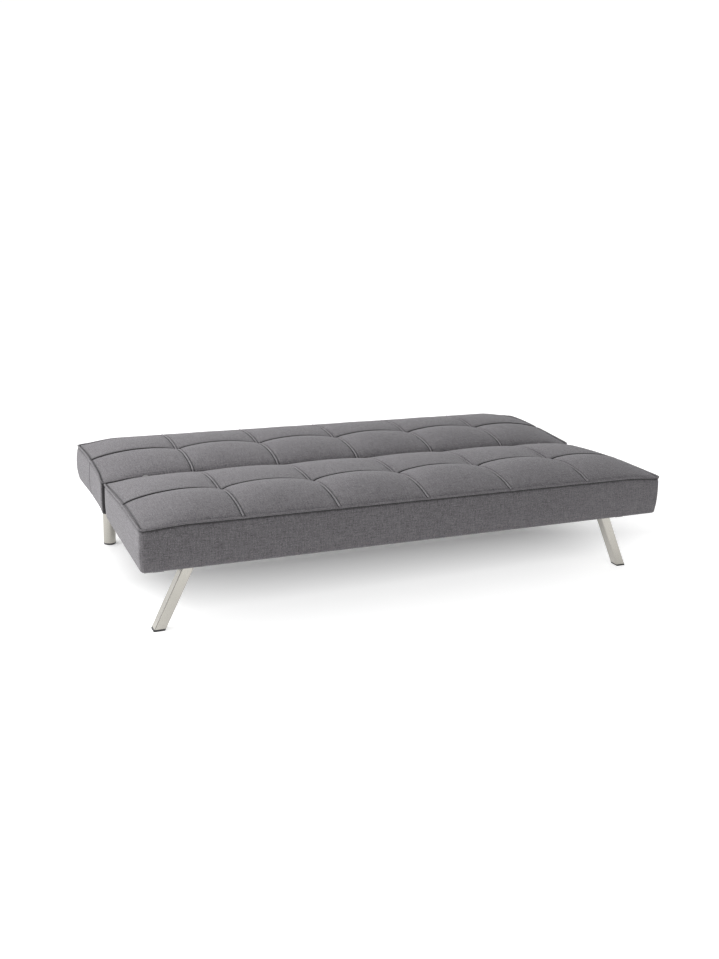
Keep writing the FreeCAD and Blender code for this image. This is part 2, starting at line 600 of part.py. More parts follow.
for unit, px, ys in (("seat", "seat_plate_x", ("-190", "-130", "-60")),
                     ("back", "back_plate_x", ("170", "230", "285"))):
    bolts, nuts = [], []
    for side, sg in SIDES:
        for k, yy in enumerate(ys):
            tag = "%s_%s%d" % (unit, side, k)
            lo, hi = span(sg, px + "+plate_steel", px + "+plate_steel+4.5")
            head = cyl("hb_head_" + tag, "head_rad", "4.5", lo, yy, "239", "x")
            lo, hi = span(sg, px + "-25-8", px + "+plate_steel+4")
            shank = cyl("hb_shank_" + tag, "bolt_rad", "(%s)-(%s)" % (hi, lo), lo, yy, "239", "x")
            bolts.append(fuse("hb_" + tag, [head, shank]))
            lo, hi = span(sg, px + "-25-6.5", px + "-25")
            nut = doc.addObject("Part::Prism", "hn_blank_" + tag)
            nut.Polygon = 6
            nut.setExpression("Circumradius", ex("head_rad+0.5"))
            nut.Height = 6.5
            nut.Placement = FreeCAD.Placement(V(0, 0, 0), FreeCAD.Rotation(V(0, 1, 0), 90))
            place(nut, lo, yy, "239")
            hole = cyl("hn_hole_" + tag, "bolt_rad+0.05", 10, "(%s)-1" % lo, yy, "239", "x")
            nuts.append(cut("hn_" + tag, nut, hole))
    group(unit + "_hinge_bolts", bolts)
    group(unit + "_hinge_nuts", nuts)

# ================================================================ springs
# Sinuous springs: wire bent to and fro, from rail to rail. Their path is straight runs and half
# circles, so it has no fitting object in the sketch tools, and it is swept directly.
doc.recompute()


def sinuous(x, ya, yb, z, half, wire, runs):
    step = (yb - ya) / runs
    r = step / 2.0
    edges = []
    y = ya
    sgn = 1
    for i in range(runs + 1):
        xa, xb = x - sgn * (half - r), x + sgn * (half - r)
        edges.append(Part.LineSegment(V(xa, y, z), V(xb, y, z)).toShape())
        if i < runs:
            edges.append(Part.Arc(V(xb, y, z), V(xb + sgn * r, y + r, z), V(xb, y + step, z)).toShape())
        y += step
        sgn = -sgn
    path = Part.Wire(edges)
    first = edges[0]
    start = first.Vertexes[0].Point
    prof = Part.Wire([Part.Circle(start, V(1, 0, 0), wire).toShape()])
    return path.makePipe(Part.Face(prof)) if False else path.makePipeShell([prof], True, False)


def clip(x, y, z, wire):
    """A small saddle of bent strip over the end of the wire, open below towards the rail."""
    w, c = 3.2, wire + 0.2
    outer = Part.makeBox(14, 2 * w, z + w - 283.0, V(x - 7, y - w, 283.0))
    inner = Part.makeBox(16, 2 * c, z + c - 282.0, V(x - 8, y - c, 282.0))
    return outer.cut(inner)


spring_z = D["wood_low"] + D["wood_high"] + D["wire_rad"] + 0.1
xs_spring = [D["spring_pitch"] * (k - 3.5) for k in range(8)]
for unit, ya, yb, runs in (("seat", D["front_y"] + 18.0, D["joint_y"] - 21.0, 24),
                           ("back", D["joint_y"] + 21.0, D["far_y"] - 18.0, 20)):
    wires = [sinuous(x, ya, yb, spring_z, D["spring_half"], D["wire_rad"], runs) for x in xs_spring]
    o = doc.addObject("Part::Feature", unit + "_sinuous_springs")
    o.Label = unit + "_sinuous_springs"
    o.Shape = Part.makeCompound(wires)
    PARTS.append(o)
    clips = [clip(x, y, spring_z, D["wire_rad"]) for x in xs_spring for y in (ya, yb)]
    o = doc.addObject("Part::Feature", unit + "_spring_clips")
    o.Label = unit + "_spring_clips"
    o.Shape = Part.makeCompound(clips)
    PARTS.append(o)

# ================================================================ soft parts
# Crowned solids: the outline along Y, the outline along X and the rounded plan are crossed.
# Plain closed solids stand for the foam, the cover and the dust sheet of each unit.
UNITS = {"seat": (D["front_y"], D["joint_y"] - D["joint_gap"], "far"),
         "back": (D["joint_y"] + D["joint_gap"], D["far_y"], "near")}


def outline_y(ya, yb, low, hinge):
    """Outline across one unit; the hinge side has the lower, rounder shoulder."""
    wz, cz = D["welt_z"], D["crown_z"]
    pts = [(0.0, wz), (45.0, wz + 22), (105.0, wz + 35), (0.5 * (yb - ya), cz)]
    soft = [(0.0, wz - 24), (17.0, wz), (47.0, wz + 20), (105.0, wz + 35)]
    if hinge == "far":
        top = [(ya + a, b) for a, b in pts] + [(yb - a, b) for a, b in reversed(soft)]
    else:
        top = [(ya + a, b) for a, b in soft] + [(0.5 * (ya + yb), cz)]
        top += [(yb - a, b) for a, b in reversed(pts[:3])]
    return [(ya, low)] + top + [(yb, low)]


def prism(points, plane, length, start):
    if plane == "yz":
        vs = [V(start, a, b) for a, b in points]
        d = V(length, 0, 0)
    elif plane == "xz":
        vs = [V(a, start, b) for a, b in points]
        d = V(0, length, 0)
    else:
        vs = [V(a, b, start) for a, b in points]
        d = V(0, 0, length)
    return Part.Face(Part.makePolygon(vs + [vs[0]])).extrude(d)


def crowned(unit, inset, low):
    ya, yb, hinge = UNITS[unit]
    hw = D["half_wid"]
    k = (yb - ya - 2 * inset) / (yb - ya)
    mid = 0.5 * (ya + yb)
    prof = [(mid + (y - mid) * k, z if i in (0, -1) else z) for i, (y, z) in enumerate(outline_y(ya, yb, low, hinge))]
    prof = [(y, low if abs(z - low) < 1e-9 else z - 1.12 * inset) for y, z in prof]
    a = prism(prof, "yz", 2 * (hw - inset), -(hw - inset))
    wz, cz = D["welt_z"], D["crown_z"]
    half = [(0.0, wz), (40.0, wz + 22), (100.0, wz + 35), (190.0, cz)]
    kx = (hw - inset) / hw
    xp = [(-hw, low)] + [(-hw + p, q) for p, q in half] + [(hw - p, q) for p, q in reversed(half)] + [(hw, low)]
    xp = [(x * kx, low if abs(z - low) < 1e-9 else z - 1.12 * inset) for x, z in xp]
    b = prism(xp, "xz", yb - ya + 20, ya - 10)
    r = max(D["corner_rad"] - inset, 2.0)
    plan = Part.makeBox(2 * (hw - inset), yb - ya - 2 * inset, 300, V(-(hw - inset), ya + inset, 150))
    plan = plan.makeFillet(r, [e for e in plan.Edges if along(V(0, 0, 1), 200)(e)])
    return a.common(b).common(plan)


def boxes_shape(items):
    return [Part.makeBox(x1 - x0, y1 - y0, z1 - z0, V(x0, y0, z0)) for x0, x1, y0, y1, z0, z1 in items]


def x_slots(y0, y1, z0, z1):
    a, b = D["slot_in"], D["slot_out"]
    return boxes_shape([(a, b, y0, y1, z0, z1), (-b, -a, y0, y1, z0, z1)])


def x_rounds(r):
    a, b = D["slot_in"], D["slot_out"]
    return [Part.makeCylinder(r, b - a, V(x, D["pivot_y"], D["pivot_z"]), V(1, 0, 0)) for x in (a, -b)]


def soft(label, shape):
    if shape.ShapeType == "Compound" and len(shape.Solids) == 1:
        shape = shape.Solids[0]
    o = doc.addObject("Part::Feature", label)
    o.Label = label
    o.Shape = shape
    PARTS.append(o)


wall, gap, uz = D["wall"], D["soft_gap"], D["under_z"]
for unit in ("seat", "back"):
    ya, yb, hinge = UNITS[unit]
    hw = D["half_wid"]
    outer = crowned(unit, 0.0, uz + 1.0)
    cavity = crowned(unit, wall, uz + 2.8)
    hem_open = Part.makeBox(2 * (hw - D["hem_wid"] - wall), yb - ya - 2 * (D["hem_wid"] + wall), 10,
                            V(-(hw - D["hem_wid"] - wall), ya + D["hem_wid"] + wall, uz - 2))
    cover = outer.cut(cavity).cut(hem_open)
    foam = crowned(unit, wall + gap, D["foam_low"])
    if unit == "seat":
        wall_slot = x_slots(yb - wall - 8, yb + 1, 250.0, 309.0)
        foam_slot = x_slots(-16.0, yb + 1, 280.0, 322.0)
        bolts = [Part.makeCylinder(4.2, 8, V(s * D["rail_x"], 24, uz - 1)) for s in (-1, 1)]
        for t in bolts:
            cover = cover.cut(t)
    else:
        wall_slot = x_slots(ya - 1, ya + 22.0, 226.0, 318.0)
        foam_slot = x_slots(ya - 1, 142.0, 280.0, 326.0)
    for t in wall_slot + x_rounds(14.0):
        cover = cover.cut(t)
    for t in foam_slot:
        foam = foam.cut(t)
    soft(unit + "_cover", cover)
    soft(unit + "_foam", foam)
    dust = Part.makeBox(2 * (hw - 10), yb - ya - 20, 0.9, V(-(hw - 10), ya + 10, uz))
    if unit == "seat":
        cxl = D["leg_foot_x"] - D["leg_splay"] * 196
        cyl_ = D["leg_front_y"] + D["leg_deep"] / 2
        for s in (-1, 1):
            for dx in (-45, 45):
                for dy in (-32, 32):
                    dust = dust.cut(Part.makeCylinder(4.2, 6, V(s * cxl + dx, cyl_ + dy, uz - 2)))
            for yy in (-350, 24):
                dust = dust.cut(Part.makeCylinder(4.2, 6, V(s * D["rail_x"], yy, uz - 2)))
    soft(unit + "_dust_cover", dust)

# ================================================================ checks and export
doc.recompute()
bad = [o.Name for o in doc.Objects if any(w in o.State for w in ("Invalid", "Error"))]
if bad:
    raise SystemExit("failed objects: %s" % bad)
labels = [o.Label for o in PARTS]
if len(labels) != len(set(labels)) or len(labels) > 60:
    raise SystemExit("labels: %d, unique %d" % (len(labels), len(set(labels))))
for o in PARTS:
    s = o.Shape
    if s.isNull() or not s.isValid() or not s.Solids:
        raise SystemExit("bad shape: " + o.Label)
os.makedirs("parts", exist_ok=True)
for f in os.listdir("parts"):
    if f.endswith(".step"):
        os.remove(os.path.join("parts", f))
for o in PARTS:
    o.Shape.exportStep("parts/%s.step" % o.Label)
box = FreeCAD.BoundBox()
for o in PARTS:
    box.add(o.Shape.BoundBox)
print("nodes", len(PARTS), "box", [round(v, 2) for v in (box.XMin, box.YMin, box.ZMin, box.XMax, box.YMax, box.ZMax)])
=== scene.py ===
# Looks of the click clack sofa bed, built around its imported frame. Metres, +Z up.
# The bed lies flat: seat in front (-Y), backrest behind it (+Y), joint between them at y 0.045.
import json
import math

import bpy
import numpy as np
from mathutils import Matrix, Vector
from mathutils.bvhtree import BVHTree


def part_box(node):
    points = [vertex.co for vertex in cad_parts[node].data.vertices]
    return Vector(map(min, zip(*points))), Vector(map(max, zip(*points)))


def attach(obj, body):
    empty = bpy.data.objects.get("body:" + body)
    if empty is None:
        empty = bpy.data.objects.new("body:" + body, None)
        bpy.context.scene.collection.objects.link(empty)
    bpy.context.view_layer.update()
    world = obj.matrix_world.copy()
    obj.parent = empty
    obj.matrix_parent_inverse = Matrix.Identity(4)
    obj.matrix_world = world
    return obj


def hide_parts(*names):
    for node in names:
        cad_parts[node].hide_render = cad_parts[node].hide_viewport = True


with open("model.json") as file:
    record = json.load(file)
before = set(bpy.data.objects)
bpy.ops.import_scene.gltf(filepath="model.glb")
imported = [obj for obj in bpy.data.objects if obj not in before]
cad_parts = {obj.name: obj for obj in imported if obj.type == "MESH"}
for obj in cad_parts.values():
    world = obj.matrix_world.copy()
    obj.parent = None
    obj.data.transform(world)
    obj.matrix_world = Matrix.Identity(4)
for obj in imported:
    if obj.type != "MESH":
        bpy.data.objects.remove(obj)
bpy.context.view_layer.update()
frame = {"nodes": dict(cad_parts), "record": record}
scene = bpy.context.scene
scene.view_settings.view_transform = "Standard"
scene.view_settings.look = "None"

HALF = 0.840                      # half the width
PITCH = 0.280                     # width of a tufted panel
COLS = [-HALF + PITCH * k for k in range(7)]
JOINT_Y, PIVOT_Z = 0.045, 0.308
UNDER = 0.2010                    # underside of the covers

# Each unit is measured from its outer edge (t = 0) towards the joint between the two cushions.
SEAT = dict(name="seat", body="base", outer=-0.475, way=1.0, depth=0.517, mid=0.2275, welt=0.3312,
            hinge_welt=0.3150, tuft=0.3420, side_t=0.3245, corner=0.3235, hinge_corner=0.3050,
            arc=0.0200, arc_p=0.75, col_out=0.0206, out_p=0.84, col_in=0.0205, in_p=1.00, puff=0.0045,
            puff_in=0.0030, end=0.0045, side_a=0.0, side_b=0.0010, end_seam=False, end_puff=0.0010,
            flare=0.0, flare_in=-0.0012)
BACK = dict(name="backrest", body="backrest", outer=0.475, way=-1.0, depth=0.427, mid=0.2120, welt=0.3330,
            hinge_welt=0.3150, tuft=0.3330, side_t=0.3200, corner=0.3190, hinge_corner=0.3050,
            arc=0.0170, arc_p=0.90, col_out=0.0130, out_p=0.80, col_in=0.0218, in_p=0.55, puff=0.0030,
            puff_in=0.0022, end=0.0020, side_a=0.0034, side_b=0.0023, end_seam=True, end_puff=0.0050,
            flare=0.0065, flare_in=0.0046)


# ------------------------------------------------------------------ small helpers
def link(ob):
    scene.collection.objects.link(ob)
    return ob


def mesh_object(name, verts, faces, smooth=True):
    me = bpy.data.meshes.new(name)
    me.from_pydata([tuple(v) for v in verts], [], [tuple(f) for f in faces])
    me.validate()
    me.polygons.foreach_set("use_smooth", [smooth] * len(me.polygons))
    me.update()
    return link(bpy.data.objects.new(name, me))


def set_fab(ob, corners):
    """corners: (loops, 2) cloth coordinates in metres, kept on the mesh as the map 'fab'."""
    me = ob.data
    layer = me.uv_layers.get("fab") or me.uv_layers.new(name="fab")
    layer.data.foreach_set("uv", np.asarray(corners, np.float32).ravel())


def apply_modifiers(ob):
    bpy.context.view_layer.update()
    dg = bpy.context.evaluated_depsgraph_get()
    me = bpy.data.meshes.new_from_object(ob.evaluated_get(dg), preserve_all_data_layers=True, depsgraph=dg)
    old = ob.data
    ob.modifiers.clear()
    ob.data = me
    bpy.data.meshes.remove(old)
    return ob


def smoothstep(a, b, x):
    t = np.clip((np.asarray(x, float) - a) / (b - a), 0, 1)
    return t * t * (3 - 2 * t)


def pillow(v, p=0.5):
    """0 at both ends, 1 in the middle, steep at the ends like a stuffed channel."""
    v = np.clip(v, 0, 1)
    return np.power(4 * v * (1 - v), p)


# ------------------------------------------------------------------ cushion shape
COL_LINES = (0.0, 0.0022, 0.0040, 0.0070)
MID_LINES = (0.0, 0.0022, 0.0048, 0.0078)
EDGE_LINES = (0.0030, 0.0055, 0.0090)


def grid_lines(low, high, marks, offsets, step=0.0100):
    keys = {round(low, 6), round(high, 6)}
    for e in EDGE_LINES:
        keys |= {round(low + e, 6), round(high - e, 6)}
    for m in marks:
        for o in offsets:
            keys |= {round(m - o, 6), round(m + o, 6)}
    keys = sorted(keys)
    out = [keys[0]]
    for a, b in zip(keys, keys[1:]):
        n = max(1, int(round((b - a) / step)))
        out += [a + (b - a) * (i + 1) / n for i in range(n)]
    return np.array(out)


def side_welt(u, t):
    """Height of the piping along the two ends: it kinks where the middle seam meets it."""
    th = u["depth"] - 0.005
    m = u["mid"]
    a = u["corner"] + (u["side_t"] - u["corner"]) * t / m + u["side_a"] * pillow(t / m, 1.0)
    b = u["side_t"] + (u["hinge_corner"] - u["side_t"]) * (t - m) / (th - m) \
        + u["side_b"] * pillow((t - m) / (th - m), 0.8)
    return np.where(t <= m, a, b)


def outer_welt(u, x):
    """Height of the piping along the outer edge; it drops a little at both corners."""
    d = HALF - np.abs(x)
    return u["corner"] + (u["welt"] - u["corner"]) * smoothstep(0.0, 0.13, d)


def hinge_welt(u, x):
    d = HALF - np.abs(x)
    return u["hinge_corner"] + (u["hinge_welt"] - u["hinge_corner"]) * smoothstep(0.0, 0.10, d)


def column(u, k, t):
    """Height of a seam that runs from the outer edge to the joint, through its tuft."""
    if k in (0, 6):
        return side_welt(u, t)
    m, th = u["mid"], u["depth"] - 0.005
    v1, v2 = t / m, (t - m) / (th - m)
    a = u["welt"] + (u["tuft"] - u["welt"]) * v1 + u["col_out"] * pillow(v1, u["out_p"])
    b = u["tuft"] + (u["hinge_welt"] - u["tuft"]) * v2 \
        + u["col_in"] * pillow(np.clip(v2, 0, 1) ** 1.15, u["in_p"])
    return np.where(t <= m, a, b)


def middle(u, k, s):
    """Height of the middle seam across panel k, s from 0 to 1."""
    z0 = u["side_t"] if k == 0 else u["tuft"]
    z1 = u["side_t"] if k == 5 else u["tuft"]
    return z0 + (z1 - z0) * s + u["arc"] * pillow(s, u["arc_p"])


def top_height(u, x, t):
    """Height of the stuffed top at x and t (arrays of one shape)."""
    m, th = u["mid"], u["depth"] - 0.005
    z = np.zeros_like(x)
    kk = np.clip(((x + HALF) / PITCH).astype(int), 0, 5)
    for k in range(6):
        s_all = (x + HALF) / PITCH - k
        for row in (0, 1):
            pick = (kk == k) & ((t <= m) if row == 0 else (t > m))
            if not pick.any():
                continue
            s, tt, xx = s_all[pick], t[pick], x[pick]
            ta, tb = (0.0, m) if row == 0 else (m, th)
            v = (tt - ta) / (tb - ta)
            zl, zr = column(u, k, tt), column(u, k + 1, tt)
            if row == 0:
                za, zb = outer_welt(u, xx), middle(u, k, s)
            else:
                za, zb = middle(u, k, s), hinge_welt(u, xx)
            x0, x1 = COLS[k], COLS[k + 1]
            f = lambda kx, tx: float(column(u, kx, np.array([tx]))[0])
            c00, c10, c01, c11 = f(k, ta + 1e-9), f(k + 1, ta + 1e-9), f(k, tb), f(k + 1, tb)
            coons = (1 - s) * zl + s * zr + (1 - v) * za + v * zb - (
                (1 - s) * (1 - v) * c00 + s * (1 - v) * c10 + (1 - s) * v * c01 + s * v * c11)
            b = u["puff"] if row == 0 else u["puff_in"]
            if k in (0, 5):
                b += u["end"]
            coons += b * pillow(s, 0.55) * pillow(v, 0.55)
            z[pick] = coons
    return z


def seam_groove(u, x, t):
    """How far the cloth is drawn down beside the raised seams, into the plain seam and behind the piping."""
    th = u["depth"] - 0.005
    dx = np.min([np.abs(x - c) for c in COLS[1:6]], axis=0)
    dt = np.abs(t - u["mid"])
    edge = np.minimum(np.minimum(t, th - t), HALF - np.abs(x))
    ends = HALF - np.abs(x)
    g = 0.0050 * np.exp(-((dx - 0.0040) / 0.0017) ** 2) + 0.0010 * (dx < 0.0031)
    g = g * (0.25 + 0.75 * smoothstep(0.0, 0.016, t))
    g = np.maximum(g, 0.0048 * np.exp(-(dt / 0.0028) ** 2))
    g = np.maximum(g, 0.0026 * np.exp(-((ends - 0.0055) / 0.0022) ** 2))
    g = np.maximum(g, 0.0012 * np.exp(-((edge - 0.0055) / 0.0022) ** 2))
    r = np.sqrt(dx ** 2 + dt ** 2)
    return g + 0.0025 * np.exp(-(r / 0.014) ** 2)


def corner_shift(x, t, th, r_out, r_in):
    """Moves points near the four corners onto rounded corners."""
    x, t = x.copy(), t.copy()
    for sx in (-1, 1):
        for near, r in ((0.0, r_out), (th, r_in)):
            dx = HALF - sx * x                       # distance from the end
            dt = t - near if near == 0.0 else near - t
            zone = (dx < r) & (dt < r)
            a, b = dx[zone] / r, dt[zone] / r        # 0 at the edge, 1 at the centre of the arc
            # square to disc, measured from the arc's centre
            p, q = 1 - a, 1 - b
            p2, q2 = p * np.sqrt(1 - q * q / 2), q * np.sqrt(1 - p * p / 2)
            nx, nt = HALF - (r - r * p2), (r - r * q2)
            x[zone] = sx * nx
            t[zone] = nt if near == 0.0 else near - nt
    return x, t


def build_cushion(u):
    """Returns the vertices, the faces by kind, each vertex's role, and the grid's sizes."""
    th = u["depth"] - 0.005
    xs = grid_lines(-HALF, HALF, COLS[1:6], COL_LINES)
    ts = grid_lines(0.0, th, [u["mid"]], MID_LINES)
    nx, nt = len(xs), len(ts)
    X, T = np.meshgrid(xs, ts)                       # rows along t
    Z = top_height(u, X, T) - seam_groove(u, X, T)
    PX, PT = corner_shift(X, T, th, 0.015, 0.0120)
    PX = PX + np.sign(PX) * u["flare"] * smoothstep(0.55, 0.84, np.abs(PX)) * np.exp(-(T / 0.15) ** 2)
    PX = PX + np.sign(PX) * u["flare_in"] * smoothstep(0.78, 0.83, np.abs(PX)) * np.exp(-((th - T) / 0.045) ** 2)
    idx = np.arange(nx * nt).reshape(nt, nx)
    top = np.stack([PX, PT, Z], -1).reshape(-1, 3)

    faces_top = [(idx[j, i], idx[j, i + 1], idx[j + 1, i + 1], idx[j + 1, i])
                 for j in range(nt - 1) for i in range(nx - 1)]
    loop = list(idx[0, :]) + list(idx[1:, -1]) + list(idx[-1, -2::-1]) + list(idx[-2:0:-1, 0])
    n = len(loop)
    P = top[loop]
    # outward direction in plan, from the loop's own tangent
    tan = np.roll(P[:, :2], -1, 0) - np.roll(P[:, :2], 1, 0)
    tan /= np.linalg.norm(tan, axis=1)[:, None]
    out = np.stack([tan[:, 1], -tan[:, 0]], 1)
    hinge = np.clip(out[:, 1], 0, 1)                 # 1 on the hinge side
    endward = np.abs(out[:, 0])
    rows = [0.030, 0.075] + list(np.linspace(0.13, 0.92, 10)) + [0.965, 1.0]
    verts = [top]
    ring_ids = [np.array(loop)]
    base = len(top)
    end_mid = np.exp(-((P[:, 1] - u["mid"]) / 0.0030) ** 2) * (endward > 0.9) if u["end_seam"] else np.zeros(n)
    near_joint = np.exp(-((th - P[:, 1]) / 0.030) ** 2)
    inward = smoothstep(0.0, 0.06, HALF - np.abs(P[:, 0]))
    far_puff = u["end_puff"] * endward * np.exp(-((P[:, 1] - 0.03) / 0.16) ** 2)
    for s in rows:
        z = P[:, 2] + (UNDER - P[:, 2]) * s
        o = (0.0034 + far_puff) * pillow(np.full(n, s), 0.8) * (1 - 0.75 * hinge) * (1 - 0.6 * near_joint)
        o -= 0.0030 * math.exp(-((s - 0.030) / 0.02) ** 2)
        tuck = 0.0016 * (1 - hinge)
        o -= tuck * smoothstep(0.60, 0.96, s)
        if s > 0.99:
            o -= 0.0040
        drop = P[:, 2] - z
        o += hinge * (0.0045 * inward - 0.0020 * (1 - inward)) * smoothstep(0.0, 0.012, drop)
        o -= 0.0026 * end_mid * (0 < s < 1)
        xy = P[:, :2] + out * o[:, None]
        verts.append(np.concatenate([xy, z[:, None]], 1))
        ring_ids.append(np.arange(base, base + n))
        base += n
    # hem turned under and the flat underside
    xy = P[:, :2] + out * -0.036
    xy[:, 0] = np.clip(xy[:, 0], -HALF + 0.036, HALF - 0.036)
    xy[:, 1] = np.clip(xy[:, 1], 0.036, th - 0.030)
    verts.append(np.concatenate([xy, np.full((n, 1), UNDER + 0.0004)], 1))
    hem = np.arange(base, base + n)
    base += n
    faces_band, faces_hem = [], []
    for a, b in zip(ring_ids, ring_ids[1:]):
        for j in range(n):
            k = (j + 1) % n
            faces_band.append((a[k], a[j], b[j], b[k]))
    for j in range(n):
        k = (j + 1) % n
        faces_hem.append((ring_ids[-1][k], ring_ids[-1][j], hem[j], hem[k]))
    V = np.concatenate(verts)
    return dict(V=V, top=faces_top, band=faces_band, hem=faces_hem, loop=loop, rings=ring_ids, hem_ids=hem,
                idx=idx, xs=xs, ts=ts, out=out, n=n)


def to_world(u, V):
    W = np.array(V, float)
    W[:, 1] = u["outer"] + u["way"] * V[:, 1]
    return W


def flip_if(u, faces):
    """The backrest is laid out mirrored, so its faces are turned over."""
    return [tuple(reversed(f)) for f in faces] if u["way"] < 0 else faces


def simulate(name, V, faces, pins, frames=20, pressure=4.0, grow=-0.012):
    """Lets the stuffing press the cloth out between its pinned seams; returns the new vertices."""
    ob = mesh_object(name + "_sim", V, faces)
    vg = ob.vertex_groups.new(name="pin")
    vg.add([int(i) for i in pins], 1.0, "REPLACE")
    m = ob.modifiers.new("Cloth", "CLOTH")
    s = m.settings
    s.quality = 4
    s.mass = 0.30
    s.air_damping = 2.0
    s.tension_stiffness = s.compression_stiffness = 25.0
    s.shear_stiffness = 12.0
    s.bending_stiffness = 1.2
    s.use_pressure = True
    s.uniform_pressure_force = pressure
    s.shrink_min = s.shrink_max = grow
    s.vertex_group_mass = "pin"
    s.effector_weights.gravity = 0.0
    m.collision_settings.use_collision = False
    m.collision_settings.use_self_collision = False
    m.point_cache.frame_start, m.point_cache.frame_end = 1, frames
    for f in range(1, frames + 1):
        scene.frame_set(f)
    dg = bpy.context.evaluated_depsgraph_get()
    done = ob.evaluated_get(dg).to_mesh()
    co = np.zeros(len(V) * 3, np.float32)
    done.vertices.foreach_get("co", co)
    ob.evaluated_get(dg).to_mesh_clear()
    data = ob.data
    bpy.data.objects.remove(ob)
    bpy.data.meshes.remove(data)
    scene.frame_set(1)
    return co.reshape(-1, 3).astype(float)


def keep_clear(u, W):
    """Keeps the shoulder beside the joint low enough for the backrest to fold up."""
    d = (JOINT_Y - W[:, 1]) * u["way"]
    W[:, 2] = np.minimum(W[:, 2], np.where(d < 0.10, PIVOT_Z + 1.22 * np.maximum(d, 0.003), 1.0))
    lim = JOINT_Y - u["way"] * 0.0028
    W[:, 1] = np.minimum(W[:, 1], lim) if u["way"] > 0 else np.maximum(W[:, 1], lim)
    return W


def keep_out(u, c, W):
    """Keeps the sides of the cover a little outside the timber frame under them."""
    y0, y1 = sorted((u["outer"] + u["way"] * 0.005, JOINT_Y - u["way"] * 0.008))
    r, mid_y, half_y = 0.012, (y0 + y1) / 2, (y1 - y0) / 2
    for ring, gap in [(k, 0.0013) for k in c["rings"][2:-1]] + [(c["rings"][-1], 0.0003)]:
        P = W[ring]
        q = np.stack([np.abs(P[:, 0]) - (HALF - 0.005 - r), np.abs(P[:, 1] - mid_y) - (half_y - r)], 1)
        m = np.maximum(q, 0.0)
        away = np.linalg.norm(m, axis=1)
        dist = np.where(away > 0, away, np.max(q, axis=1)) - r
        flat = np.zeros_like(q)
        flat[np.arange(len(q)), np.argmax(q, axis=1)] = 1.0
        n = np.where(away[:, None] > 1e-9, m / np.maximum(away, 1e-9)[:, None], flat)
        n[:, 0] *= np.sign(P[:, 0])
        n[:, 1] *= np.sign(P[:, 1] - mid_y)
        push = np.maximum(gap - dist, 0.0) * (P[:, 2] < 0.288)
        W[ring, :2] = P[:, :2] + n * push[:, None]
    return W


def painted_seam_shade_tone(u, c, count):
    """Painted shade: 1 where the cloth is folded into a seam, 0 on the open panels; the material darkens the cloth by
    it.
    """
    th = u["depth"] - 0.005
    X, T = np.meshgrid(c["xs"], c["ts"])
    dx = np.min([np.abs(X - k) for k in COLS[1:6]], axis=0)
    dt = T - u["mid"]
    edge = np.minimum(np.minimum(T, th - T), HALF - np.abs(X))
    # painted shade in the creases beside the ribs, behind the middle seam, and inside the piping at the ends and edges
    g = np.exp(-((dx - 0.0039) / 0.0017) ** 2)
    g = np.maximum(g, np.exp(-((dt * u["way"] - 0.0046) / 0.0040) ** 2))
    g = np.maximum(g, 0.9 * np.exp(-((HALF - np.abs(X) - 0.0055) / 0.0018) ** 2))
    g = np.maximum(g, 0.15 * np.exp(-((edge - 0.0055) / 0.0018) ** 2))
    tone = np.zeros(count)
    tone[: X.size] = g.ravel()
    # painted shade: a dark line just under the piping, and a faint one below it
    tone[c["rings"][1]] = 1.0
    tone[c["rings"][2]] = 0.15
    P = c["V"][c["loop"]]
    # painted shade: the outer side, away from the joint, is made a shade darker
    painted_outer_shade = 0.16 * smoothstep(0.3, 0.7, -c["out"][:, 1])
    for ring in c["rings"][2:]:
        tone[ring] = np.maximum(tone[ring], painted_outer_shade)
    # painted shade in the gap at the joint: the hinge side near both ends goes dark
    painted_joint_shade = smoothstep(0.30, 0.62, c["out"][:, 1]) * (HALF - np.abs(P[:, 0]) < 0.05)
    for ring in c["rings"][2:]:
        tone[ring] = np.maximum(tone[ring], painted_joint_shade)
    # painted shade along the vertical seam on the ends
    if u["end_seam"]:
        line = np.exp(-((P[:, 1] - u["mid"]) / 0.0022) ** 2) * (np.abs(c["out"][:, 0]) > 0.9)
        for ring in c["rings"][2:]:
            tone[ring] = np.maximum(tone[ring], line)
    return tone


